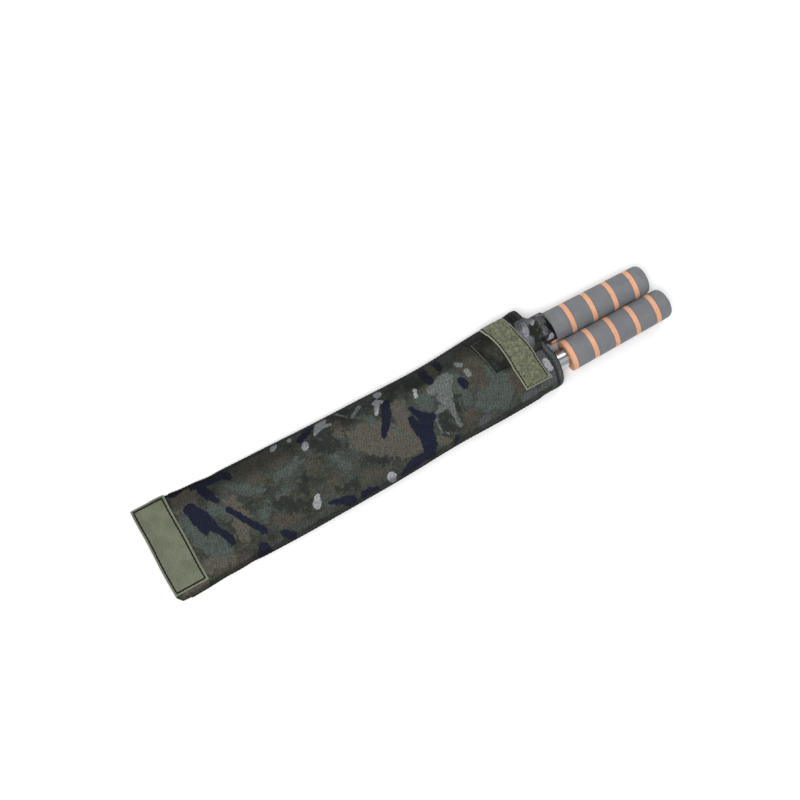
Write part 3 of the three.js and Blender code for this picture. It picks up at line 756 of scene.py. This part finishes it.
def set_camera():
    azimuth, elevation, roll = (math.radians(a) for a in CAMERA_ANGLES)
    spin = (Matrix.Rotation(azimuth, 4, "Z") @ Matrix.Rotation(math.pi / 2 - elevation, 4, "X")
            @ Matrix.Rotation(roll, 4, "Z"))
    data = bpy.data.cameras.new("camera")
    data.lens, data.sensor_width = 63, 36
    data.clip_start, data.clip_end = 0.05, 50
    camera = linked("camera", data)
    back = spin.col[2].xyz
    eye = Vector(place(CAMERA_AIM)) + back * CAMERA_DISTANCE
    camera.matrix_world = Matrix.Translation(eye) @ spin
    bpy.context.scene.camera = camera


def add_light(name, place_at, aim, size, power):
    data = bpy.data.lights.new(name, "AREA")
    data.shape, data.size, data.energy = "DISK", size, power
    light = linked(name, data)
    light.location = place_at
    toward = Vector(aim) - Vector(place_at)
    light.rotation_mode = "QUATERNION"
    light.rotation_quaternion = toward.to_track_quat("-Z", "Y")


def set_studio():
    world = bpy.data.worlds.new("studio")
    world.use_nodes = True
    sky = world.node_tree.nodes["Background"].inputs
    sky[0].default_value, sky[1].default_value = (0.97, 0.98, 1.0, 1), 0.62
    bpy.context.scene.world = world
    bpy.context.scene.view_settings.view_transform = "Standard"
    add_light("key", (-0.7, -0.5, 2.2), (0, 0, 0), 1.6, 38)
    add_light("fill", (1.2, 1.0, 1.6), (0.1, 0, 0), 1.4, 12)
    s = Surface("studio_floor", Roughness=0.9, Specular_IOR_Level=0.1)
    colour = s.mix(s.noise(60, 2), [0.93, 0.93, 0.93, 1], [0.95, 0.95, 0.95, 1])
    s.set("Base Color", s.varied(colour, (s.noise(3, 2), 0.99, 1.0)))
    mesh = bpy.data.meshes.new("floor")
    made = bmesh.new()
    bmesh.ops.create_grid(made, x_segments=4, y_segments=4, size=4)
    made.to_mesh(mesh)
    made.free()
    mesh.materials.append(s.material)
    floor = linked("floor", mesh)
    floor.location = (0, 0, -0.0002)


set_camera()
set_studio()


# ---- Sheath panels and hem ----

PANEL_XS = np.linspace(TAIL - 1.2, HEM_BACK - 0.3, 256)
TURNS = np.linspace(-1, 1, 73)
HEM_STITCH_BACK = 6.4  # how far the hem's stitching is behind the rim
BACK_PRINT = scattered(21)


def cloth_grid(point_of, xs, depth, belly):
    grid_x, grid_turn = np.meshgrid(xs, TURNS, indexing="ij")
    return to_rim(point_of(grid_x, grid_turn, depth), np.abs(grid_turn), belly)


def panel(name, node, point_of, inner, belly, prints):
    """A panel from its outer face to its inner one, which is inner mm further along point_of."""
    points, faces = shell(cloth_grid(point_of, PANEL_XS, 0, belly),
                          cloth_grid(point_of, PANEL_XS, inner, belly))
    obj = piece(name, (points, faces), "sheath", "camo_fabric", CAMO, node)
    centre, half, _, _ = sheath_at(points[:, 0])
    off_middle = points[:, 1] - centre
    # painted shade: the seam distance is shrunk on the left side, so the painted darkening reaches
    # further in on the side turned from the key light; the cloth is also darkened towards the tail
    side = (half - np.abs(off_middle)) * np.where(off_middle < 0, 2.2, 0.52)
    printed(obj, prints, points, np.minimum(side, (points[:, 0] - TAIL) * 1.5 + 3))
    return obj


def add_hem():
    """The cloth turned over twice round the mouth: a thicker band with a soft rolled rim."""
    xs = np.linspace(HEM_BACK + 0.2, -0.9, 12)

    def loop(x, depth):
        puff = 0.45 * math.sin(math.pi * min(1, max(0, (x - HEM_BACK) / 11))) ** 0.5
        front_half = cloth_grid(front_point, np.array([x]), puff - depth, True)[0]
        back_half = cloth_grid(back_point, np.array([x]), depth, False)[0][::-1]
        return np.concatenate([front_half, back_half[1:-1]])

    outer = np.array([loop(x, 0) for x in xs])
    inner = np.array([loop(x, FABRIC + 0.5) for x in xs])
    points, faces = shell(outer, inner, ring=True)
    hem = piece("rolled_hem", (points, faces), "sheath", "camo_fabric", CAMO, "mouth_hem")
    # painted shade: the hem's seam field is small at the rim, at the hem's back edge and along its
    # line of stitching, so the cloth is painted darker there
    from_rim = rim_reach(points[:, 1], np.zeros(len(points))) - points[:, 0]
    seam = np.minimum((from_rim + 0.3) * 1.2, points[:, 0] - HEM_BACK)
    seam = np.minimum(seam, np.abs(from_rim - HEM_STITCH_BACK) + 0.4)
    printed(hem, FRONT_PRINT, points, 0.3 + np.maximum(seam - 0.4, 0) * 5)
    return hem


front = panel("front_cover", "front_panel", front_point, -FABRIC, True, FRONT_PRINT)
back = panel("back_cover", "back_panel", back_point, FABRIC, False, BACK_PRINT)
hem = add_hem()


# ---- Stitching ----

def resampled(points, step):
    """The same line with points a fixed step apart, and its length."""
    lengths = np.linalg.norm(np.diff(points, axis=0), axis=1)
    along = np.concatenate([[0], np.cumsum(lengths)])
    at = np.arange(0, along[-1], step)
    return np.stack([np.interp(at, along, points[:, k]) for k in range(3)], 1), along[-1]


def stitches(lines, normals_of, length, space, radius, rise):
    """Points and faces of sewn stitches along lines. Each one dips into the cloth at its ends."""
    pitch, parts = length + space, 24
    height = rise - (rise + radius + 0.25) * np.abs(np.linspace(-1, 1, 5))[:, None] ** 4
    share = np.linspace(0, length / pitch, 5) * parts
    paths, ups = [], []
    for line in lines:
        dense, total = resampled(np.asarray(line), pitch / parts)
        for k in range(int(total / pitch)):
            at = np.minimum((k * parts + share).astype(int), len(dense) - 1)
            middle = dense[at]
            normal = normals_of(middle)
            jitter = random.uniform(-0.12, 0.12, (1, 3))
            paths.append(middle + jitter + normal * height)
            ups.append(normal)
    return tubes(paths, radius, np.array(ups))


def front_stitches(name, nodes, lines, *sizes):
    made = stitches(lines, outward, *sizes)
    piece(name, made, "sheath", "thread", DARK_THREAD, *nodes)


def outward(points):
    """Roughly the direction out of the sheath's front."""
    x, y = points[:, 0], points[:, 1]
    centre, half, _, _ = sheath_at(x)
    slope = np.clip((y - centre) / half, -0.98, 0.98)
    return unit(np.stack([np.zeros_like(x), slope ** 3 * 1.2, np.ones_like(x) - slope ** 8], -1))


def front_line(corners, lift):
    """A line over the front through (x, y) corners."""
    flat = np.array([(x, y, 0.0) for x, y in corners])
    dense = np.vstack([resampled(flat, 1.0)[0], flat[-1:]])
    x, y = dense[:, 0], dense[:, 1]
    return on_front(x, y, lift(x, y))


# ---- Side seams: rolled edges, whipped with thread ----

ALONG, UP = np.array([1.0, 0, 0]), np.array([0, 0, 1.0])


def add_side_seam(name, side, start):
    xs = np.linspace(start, HEM_BACK - 4, 420)
    centre, half, _, seam = sheath_at(xs)
    under_hem = 1.9 * eased((xs + 26) / 14)
    y = centre + SIDES[side] * (half + 0.15 - under_hem)
    core = np.stack([xs, y, np.maximum(seam, 1.0)], -1)
    core = to_rim(core, np.ones_like(xs), belly=False)
    swell = 0.6 + 0.07 * np.sin(xs * math.tau / 3.4)
    binding = tubes([core], swell[None], UP, 12)
    angle = np.linspace(-0.5, math.pi + 0.5, 7) - math.pi / 2
    out = np.stack([0 * angle, SIDES[side] * np.cos(angle), np.sin(angle)], -1) * 0.72
    steps = np.linspace(-0.5, 1.2, 7)[:, None]
    whips = [core[k] + (core[k + 2] - core[k]) * steps + out for k in range(4, len(core) - 8, 4)]
    made = joined(binding, tubes(whips, 0.14, ALONG, 5))
    piece(name, made, "sheath", "seam_cord", EDGE_THREAD, f"{side}_side_seam")


add_side_seam("left_bound_edge", "left", TAIL + 36)
add_side_seam("right_bound_edge", "right", TAIL + 9)


# ---- Hook tape at the tail ----

HOOK_X = (-420.7, -385.6)
HOOK_Y = (-39.8, 50.2)
TAPE_THICKNESS = 1.2
TAPE_GAP = GAP - 0.2


def hook_x(side, y):
    """The hook tape's tail edge (side 0) or its mouth edge (side 1) at y."""
    skew = -1.2 * (y - HOOK_Y[0]) / (HOOK_Y[1] - HOOK_Y[0])
    return HOOK_X[side] + (skew + 0.6 if side else 0.3 * skew) + 0.25 * np.sin(y / 9 + side)


def both_faces(values):
    """One value for each point of a shell, from a grid of values on its outer face."""
    zero = 0 * values[:1]
    return np.concatenate([values, zero, zero, values[::-1], zero, zero]).ravel()


def tape_shell(x_of, ys, columns, lift_of, edge_rise):
    """A woven tape on the front: its shell and, for each point, the distance to its border."""
    shares = np.linspace(0, 1, columns)
    plain_y = np.repeat(ys[:, None], columns, 1)
    low, high = x_of(0, plain_y), x_of(1, plain_y)
    grid_x = low + (high - low) * shares
    centre, half, _, _ = sheath_at(grid_x[-1])
    reach = np.minimum(ys[-1], centre + half - 0.1) - ys[0]
    grid_y = ys[0] + (plain_y - ys[0]) * reach / (ys[-1] - ys[0])
    ends = np.minimum(grid_y - ys[0], ys[-1] - grid_y)
    border = np.minimum(np.minimum(shares, 1 - shares) * (high - low), ends)
    rib = edge_rise * np.exp(-((border - 0.5) / 0.45) ** 2)
    lift = lift_of(grid_x, grid_y)
    height = TAPE_THICKNESS * (0.55 + 0.45 * eased(border / 0.7)) + rib
    points, faces = shell(on_front(grid_x, grid_y, lift + height), on_front(grid_x, grid_y, lift))
    return points, faces, both_faces(border)


def add_hook_tape():
    ys = np.linspace(*HOOK_Y, 150)
    points, faces, border = tape_shell(hook_x, ys, 60, lambda x, y: TAPE_GAP + 0 * x, 0.22)
    tape = piece("hook_tape_strip", (points, faces), "sheath", "hook_tape", HOOK_TAPE, "hook_tape")
    add_field(tape, "border", border)
    rows = np.arange(HOOK_Y[0] + 4.4, HOOK_Y[1] - 3.4, 1.15)
    columns = np.linspace(0.135, 0.865, 22)
    grid_y, grid_share = [a.ravel() for a in np.meshgrid(rows, columns, indexing="ij")]
    grid_y = grid_y + random.normal(0, 0.06, grid_y.shape)
    low, high = hook_x(0, grid_y), hook_x(1, grid_y)
    grid_x = low + (high - low) * grid_share + random.normal(0, 0.06, grid_y.shape)
    foot = on_front(grid_x, grid_y, TAPE_THICKNESS)
    lean = np.where(np.arange(len(foot)) % 2, 1.0, -1.0) * 0.42
    outline = [(0, 0), (0.05, 0.5), (0.55, 0.95), (1.1, 0.72)]
    paths = np.stack([foot + np.stack([0 * lean, lean * a, 0 * lean + b], -1)
                      for a, b in outline], 1)
    made = tubes(paths, np.array([0.26, 0.2, 0.19, 0.13]), ALONG, 4)
    piece("hook_tape_hooks", made, "sheath", "hook_tape", HOOKS)


def hook_stitch_line():
    y0, y1 = HOOK_Y[0] + STITCH_IN, HOOK_Y[1] - STITCH_IN
    left = [(hook_x(0, y) + STITCH_IN, y) for y in np.linspace(y0 + 1, y1 - 1, 40)]
    right = [(hook_x(1, y) - STITCH_IN, y) for y in np.linspace(y1 - 1.6, y0 + 1, 40)]
    top = [(left[-1][0] + 1, y1), (right[0][0] - 1.5, y1 - 0.6)]
    bottom = [(right[-1][0] - 1, y0), (left[0][0] + 1, y0)]
    return left + top + right + bottom + left[:1]


add_hook_tape()
front_stitches("hook_tape_stitches", ["hook_tape_stitching"],
               [front_line(hook_stitch_line(), lambda x, y: 1.5 + 0 * x)], 3.6, 0.45, 0.74, 0.2)


# ---- Strap: sewn on the front, passed under the loop tape and folded over the left grip ----

STRAP_BACK = -54
STRAP_TIP = 17.5
STRAP_Y = (-0.8, 34)
STRAP_THICKNESS = 1.2
LEFT_AXIS = stick_axis("left")


def strap_point(x, share, lift):
    """share goes from 0 at the strap's right edge to 1 at its left."""
    x, share = np.broadcast_arrays(np.asarray(x, float), np.asarray(share, float))
    y = STRAP_Y[0] + (STRAP_Y[1] - STRAP_Y[0]) * share
    puff = 0.25 * np.sin(x / 3.1 + y / 7) * eased((x + 6) / 6) * (1 - eased((x - 8) / 6))
    over_hem = 0.5 * eased((x + 15) / 3)
    sewn = on_front(np.minimum(x, 2), y, GAP + lift + over_hem + puff)
    sewn[..., 0] = x
    radius = GRIP_RADIUS + 0.5 + lift + 0.15 * puff
    angle = np.radians(-53 + 135 * share)
    y, z = LEFT_AXIS + radius * np.sin(angle), AXIS_HEIGHT + radius * np.cos(angle)
    wrapped = np.stack([x, y, z], -1)
    hold = eased((x + 3) / 7)[..., None]
    return sewn + (wrapped - sewn) * hold


def strap_x(along, share):
    """The strap's ends are cut a little skew."""
    y = STRAP_Y[0] + (STRAP_Y[1] - STRAP_Y[0]) * share
    tail = STRAP_BACK - 0.2 * y
    tip = STRAP_TIP - 0.03 * y
    return tail + (tip - tail) * along


def add_strap():
    along, share = np.meshgrid(np.linspace(0, 1, 120), np.linspace(0, 1, 44), indexing="ij")
    x = strap_x(along, share)
    to_edge = np.minimum(np.minimum(share, 1 - share) * 35, np.minimum(along, 1 - along) * 76)
    fold = 0.28 * np.exp(-((to_edge - 1.1) / 0.8) ** 2)
    soft = STRAP_THICKNESS * (0.6 + 0.4 * eased(to_edge / 0.8)) + fold
    points, faces = shell(strap_point(x, share, soft), strap_point(x, share, 0.0))
    strap = piece("closing_strap", (points, faces), None, "camo_strap", STRAP_CAMO,
                  "strap_anchor", "strap_tab")
    # painted shade: the strap is darker near all its edges
    printed(strap, STRAP_PRINT, points, both_faces(to_edge))
    return strap


def strap_line(along, shares, lift):
    """A line across the strap, or along it if along is a list of x and shares is one share."""
    xs = along if np.ndim(along) else strap_x(along, shares)
    return strap_point(xs, shares, lift)


def off_left_axis(points):
    return unit((points - (0, LEFT_AXIS, AXIS_HEIGHT)) * (0, 1, 1))


def strap_trim(name, body, thread, *edges):
    """Thread laid along edges of the strap. Each one is a line, its radii and an up vector."""
    made = [tubes([line], radii[None], up, 8) for line, radii, up in edges]
    piece(name, joined(*made), body, "thread", thread)


def add_strap_details():
    sewn = STRAP_THICKNESS + 0.1
    line = np.concatenate([
        strap_line(np.linspace(-38, -52.5, 20), 0.07, sewn),
        strap_line(0.035, np.linspace(0.07, 0.93, 30), sewn),
        strap_line(np.linspace(-58, -41, 20), 0.93, sewn)])
    front_stitches("strap_stitches", [], [line], 2.0, 0.5, 0.33, 0.12)
    hind = strap_line(0.006, np.linspace(0.01, 0.985, 60), STRAP_THICKNESS * 0.75)
    swell = 0.36 + 0.05 * np.sin(np.arange(60) * 2.1)
    corner = strap_x(0.006, 0.985)
    upper = strap_line(np.linspace(corner, corner + 17, 30), 0.985, STRAP_THICKNESS * 0.8)
    strap_trim("strap_edge_binding", "sheath", PALE_THREAD, (hind, swell, ALONG),
               (upper, np.linspace(0.3, 0.22, 30), UP))
    line = np.concatenate([
        strap_line(np.linspace(3, 14.8, 20), 0.06, sewn + 0.05),
        strap_line(0.97, np.linspace(0.06, 0.94, 40), sewn + 0.05)])
    made = stitches([line], off_left_axis, 1.9, 0.7, 0.26, 0.1)
    piece("tab_stitches", made, "strap_tab", "thread", DARK_THREAD)
    tip = strap_line(0.997, np.linspace(0.42, 0.985, 40), STRAP_THICKNESS * 0.8)
    thin_start = np.interp(np.arange(40), [0, 8, 39], [0.08, 0.34, 0.34])
    strap_trim("tab_edge_binding", "strap_tab", PALE_THREAD, (tip, thin_start, ALONG))
    # a dark cord along the tab's lower edge: partly a binding, partly painted shadow under the edge
    lower = strap_line(np.linspace(4, strap_x(1, 0) - 0.4, 30), 0.012, STRAP_THICKNESS * 0.6)
    thin_start = np.interp(np.arange(30), [0, 6, 29], [0.1, 0.45, 0.5])
    strap_trim("tab_edge_painted_shadow", "strap_tab", DARK_THREAD, (lower, thin_start, UP))


strap = add_strap()
add_strap_details()


# ---- Loop tape by the mouth ----

LOOP_Y = (-28, 44.5)


def loop_x(side, y):
    if side == 0:
        return -36.6 - 0.085 * y - 3.6 * eased((y - 20) / 26) + 0.3 * np.sin(y / 6)
    flap = 1.9 * eased((-21 - y) / 5)
    return -10.8 - 0.11 * y - 2.2 * eased((y - 8) / 24) + 0.25 * np.sin(y / 5 + 1) + flap


def loop_lift(x, y):
    """The tape lies on the panel at its ends and rises over the strap."""
    on_strap = eased((y - STRAP_Y[0] + 2.5) / 2.5) * (1 - eased((y - STRAP_Y[1]) / 2.5))
    near_hem = 0.45 * eased((x + 14) / 3)
    return TAPE_GAP + on_strap * (STRAP_THICKNESS + 0.5) + near_hem


def add_loop_tape():
    ys = np.linspace(*LOOP_Y, 130)
    points, faces, border = tape_shell(loop_x, ys, 50, loop_lift, 0.3)
    tape = piece("loop_tape_backing", (points, faces), "sheath", "loop_tape", LOOP_TAPE,
                 "loop_tape")
    add_field(tape, "border", border)


def add_pile():
    """The tape's face: thousands of small brushed loops of yarn."""
    count = 6200
    y = random.uniform(LOOP_Y[0] + 2.2, LOOP_Y[1] - 0.8, count)
    share = random.uniform(0.085, 0.925, count)
    low, high = loop_x(0, y), loop_x(1, y)
    x = low + (high - low) * share
    clear = np.minimum(np.abs(share - 0.085), np.abs(share - 0.915)) * (high - low)
    heading = random.uniform(0, math.tau, count) + 0.5 * np.sin(x / 3)
    reach = random.uniform(0.7, 1.7, count)
    height = random.uniform(0.35, 0.95, count) * np.clip(clear / 1.5, 0.45, 1)
    rows = []
    for t, up in ((0, -0.1), (0.3, 0.85), (0.7, 1.0), (1.0, 0.1)):
        px = x + np.cos(heading + t) * reach * (t - 0.5)
        py = y + np.sin(heading + t) * reach * (t - 0.5)
        rows.append(on_front(px, py, loop_lift(px, py) + TAPE_THICKNESS + height * up))
    paths = np.stack(rows, 1)
    made = tubes(paths, np.array([0.17, 0.2, 0.2, 0.13]), np.array([0.1, 0.2, 1.0]), 3)
    pile = piece("loop_tape_pile", made, "sheath", "loop_tape", PILE, sharp=80)
    tint = np.clip(random.normal(0.5, 0.24, count), 0, 1)
    add_field(pile, "tint", np.repeat(tint, 12))


def loop_stitch_line():
    y0, y1 = LOOP_Y[0] + 2.4, LOOP_Y[1] - 0.4
    left = [(loop_x(0, y) + 2.0, y) for y in np.linspace(y1, y0, 60)]
    right = [(loop_x(1, y) - 1.8 - 1.9 * eased((-21 - y) / 5), y) for y in np.linspace(y0, 34, 60)]
    return left + right


add_loop_tape()
add_pile()
front_stitches("loop_tape_stitches", ["loop_tape_stitching"],
               [front_line(loop_stitch_line(), lambda x, y: loop_lift(x, y) + 1.35)],
               2.7, 0.4, 0.56, 0.16)


def hem_line(start, end, count):
    turns = np.linspace(start, end, count)
    points = front_point(np.full(count, -HEM_STITCH_BACK), turns, 0.42)
    return to_rim(points, np.abs(turns))


hem_lines = [hem_line(-0.96, float(turn_at(0, STRAP_Y[0])) - 0.02, 90),
             hem_line(float(turn_at(0, STRAP_Y[1])) + 0.04, 0.96, 30)]
front_stitches("hem_stitches", ["hem_stitching"], hem_lines, 2.6, 0.5, 0.42, 0.12)


# ---- Sticks ----

def grip_radius(along):
    """The grip shrinks evenly from its start to its tip."""
    return GRIP_RADIUS + (TIP_RADIUS - GRIP_RADIUS) * along / GRIP_LENGTH


def foam_piece(side, number, start, end, ring):
    y = stick_axis(side)
    wide, narrow = [grip_radius(x - GRIP_STARTS[side]) for x in (start, end)]
    inner = TUBE_RADIUS + 0.3
    if number == RING_COUNT and not ring:
        end += 1.6
        bend = [(end - 6.5 * (1 - math.sin(a)), narrow - 6 * (1 - math.cos(a)))
                for a in np.linspace(0, math.pi / 2, 11)]
        profile = [(start, inner), (start, wide - 0.35), (start + 0.35, wide), *bend,
                   (end - 0.6, narrow - 6.8), (end - 2, narrow - 6.9), (end - 2, inner)]
    else:
        profile = softened([(start, inner), (start, wide), (end, narrow), (end, inner)], 0.35)
    kind, slot, finish = ("ring", "grip_ring_foam", RING_FOAM) if ring else (
        "foam", "grip_foam", FOAM)
    points, faces = turned(profile, y, sides=80)
    radius = np.hypot(points[:, 1] - y, points[:, 2] - AXIS_HEIGHT)
    outside = np.clip((radius - TUBE_RADIUS) / (TIP_RADIUS - TUBE_RADIUS), 0, 1)
    along = np.clip((points[:, 0] - GRIP_STARTS[side]) / GRIP_LENGTH, 0, 1)
    points[:, 1] -= SIDES[side] * TIP_LEAN * along * outside
    obj = piece(f"{side}_{kind}_{number}", (points, faces), f"{side}_stick", slot, finish,
                f"{side}_grip_{kind}_{number}", sharp=60)
    # the distance to the piece's ends sets the painted shade in the joints
    add_field(obj, "edge", np.minimum(points[:, 0] - start, end - points[:, 0]))


def add_stick(side):
    y, body = stick_axis(side), f"{side}_stick"
    start, end = GRIP_STARTS[side], GRIP_STARTS[side] + GRIP_LENGTH
    tube = softened([(TUBE_INNER_END, TUBE_BORE), (TUBE_INNER_END, TUBE_RADIUS),
                     (end - GAP, TUBE_RADIUS), (end - GAP, TUBE_BORE)], 0.4)
    piece(f"{side}_polished_tube", turned(tube, y, sides=96), body, "steel_tube", TUBE,
          f"{side}_steel_tube")
    lip = TUBE_INNER_END - GAP
    tail = lip - FERRULE_LENGTH
    hole, spigot, seat = STUD_RADIUS + GAP, TUBE_BORE - GAP, BEARING_RADIUS + GAP
    cup = softened([
        (tail, hole), (tail, hole + 3), (lip - 3, TUBE_RADIUS), (lip, TUBE_RADIUS), (lip, spigot),
        (lip + SPIGOT_LENGTH, spigot), (lip + SPIGOT_LENGTH, seat), (tail + 2.5, seat),
        (tail + 2.5, hole),
    ], 0.5)
    piece(f"{side}_ferrule_cup", turned(cup, y, sides=72), body, "swivel_steel", FITTING,
          f"{side}_ferrule")
    piece(f"{side}_ball_race", ball_race(y), body, "swivel_steel", FITTING,
          f"{side}_swivel_bearing")
    head = TIP_RADIUS - 7.1
    top = end + 2 + PLUG_PROUD[side]
    plug = [
        (end - 16, 0.4), (end - 16, spigot - 1), (end - 14, spigot), (end + GAP, spigot),
        (end + GAP, head), (top - 1.0, head + 0.05), (top - 0.4, head - 0.3),
        (top - 0.1, head - 1.0), (top, head - 2.0), (top - 0.3, head - 3.0), (top - 0.3, 2.4),
        (top - 0.8, 1.8), (top - 0.9, 0.4),
    ]
    piece(f"{side}_plug_cap", turned(plug, y, closed=False, sides=72), body, "end_plug", PLUG,
          f"{side}_end_plug")
    for number in range(1, RING_COUNT + 1):
        ring_start = start + (number - 1) * RING_PITCH
        ring_end = ring_start + RING_WIDTH
        foam_end = end if number == RING_COUNT else ring_start + RING_PITCH - 0.04
        foam_piece(side, number, ring_start, ring_end, True)
        foam_piece(side, number, ring_end + 0.04, foam_end, False)


def ball_race(y):
    """A ball race: two rings and nine balls between them."""
    start, end = BEARING_START, BEARING_START + BEARING_WIDTH
    inner, outer, wall = STUD_RADIUS + GAP, BEARING_RADIUS, 0.75
    made = []
    for low, high in ((outer - wall, outer), (inner, inner + wall)):
        ring = [(start, low), (start, high), (end, high), (end, low)]
        made.append(turned(softened(ring, 0.2), y, sides=48))
    middle, size = (inner + outer) / 2, (outer - inner) / 2 - wall + 0.1
    stops = np.linspace(0.05, math.pi - 0.05, 9)
    ball = [((start + end) / 2 - size * math.cos(a), size * math.sin(a)) for a in stops]
    for angle in [k * math.tau / 9 for k in range(9)]:
        points, faces = turned(ball, 0, closed=False, sides=14)
        offset = (0, y + middle * math.sin(angle), middle * math.cos(angle))
        made.append((points + offset, faces))
    return joined(*made)


for each_side in SIDES:
    add_stick(each_side)


# ---- Swivel chain ----

def wire_loop(path, up):
    """A closed loop of round wire."""
    path, sides = np.asarray(path, float), 12
    along = unit(np.roll(path, -1, 0) - np.roll(path, 1, 0))
    side = unit(np.cross(along, up))
    over = np.cross(side, along)
    angle = np.arange(sides) * math.tau / sides
    wire = np.cos(angle)[:, None] * side[:, None] + np.sin(angle)[:, None] * over[:, None]
    points = path[:, None] + CHAIN_WIRE * wire
    return points.reshape(-1, 3), grid_faces(len(path), sides, True, True)


def chain_joints():
    half = STICK_SPACING / 2
    bend_x = FIRST_JOINT - 2 * LINK_PITCH
    straight = [FIRST_JOINT - k * LINK_PITCH for k in range(3)]
    bend = [k * math.pi / 5 for k in range(1, 5)]
    return ([(x, half) for x in straight]
            + [(bend_x - half * math.sin(a), half * math.cos(a)) for a in bend]
            + [(x, -half) for x in reversed(straight)])


def add_chain():
    bend_radius = 3.3
    straight = (LINK_PITCH + 1 + 2 * CHAIN_WIRE) / 2 - bend_radius
    joints = [Vector((x, STICK_MIDDLE + y, AXIS_HEIGHT)) for x, y in chain_joints()]
    for k, (start, end) in enumerate(zip(joints, joints[1:])):
        along = (end - start).normalized()
        upright = k % 2 == 1
        across = Vector((0, 0, 1)) if upright else Vector((0, 0, 1)).cross(along)
        up = along.cross(across)
        middle = (start + end) / 2
        path = []
        for sign in (1, -1):
            for step in np.linspace(-math.pi / 2, math.pi / 2, 15):
                path.append(middle + along * sign * (straight + bend_radius * math.cos(step))
                            + across * sign * bend_radius * math.sin(step))
        piece(f"chain_ring_{k + 1}", wire_loop(path, np.array(up)), "chain", "swivel_steel",
              FITTING, f"chain_link_{k + 1}", sharp=80)


def add_stud(side):
    y = stick_axis(side)
    eye_radius = 3.4
    eye_x = FIRST_JOINT - 1.5 + eye_radius
    shaft_start = eye_x + eye_radius - 0.6
    head = BEARING_START + BEARING_WIDTH + GAP
    shaft = turned([
        (shaft_start, 0.3), (shaft_start, STUD_RADIUS - 0.3), (shaft_start + 0.3, STUD_RADIUS),
        (head, STUD_RADIUS), (head, 4.0), (head + 0.2, 4.2), (head + 2, 4.2), (head + 3, 3.2),
        (head + 3, 0.3),
    ], y, closed=False, sides=40)
    angles = np.linspace(0, math.tau, 40, endpoint=False)
    path = np.stack([eye_x + eye_radius * np.cos(angles), 0 * angles + y,
                     AXIS_HEIGHT + eye_radius * np.sin(angles)], -1)
    made = joined(shaft, wire_loop(path, np.array([0, 1.0, 0])))
    piece(f"{side}_eye_stud", made, "chain", "swivel_steel", FITTING, f"{side}_swivel_stud")


add_chain()
for each_side in SIDES:
    add_stud(each_side)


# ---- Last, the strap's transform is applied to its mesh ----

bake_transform(strap)
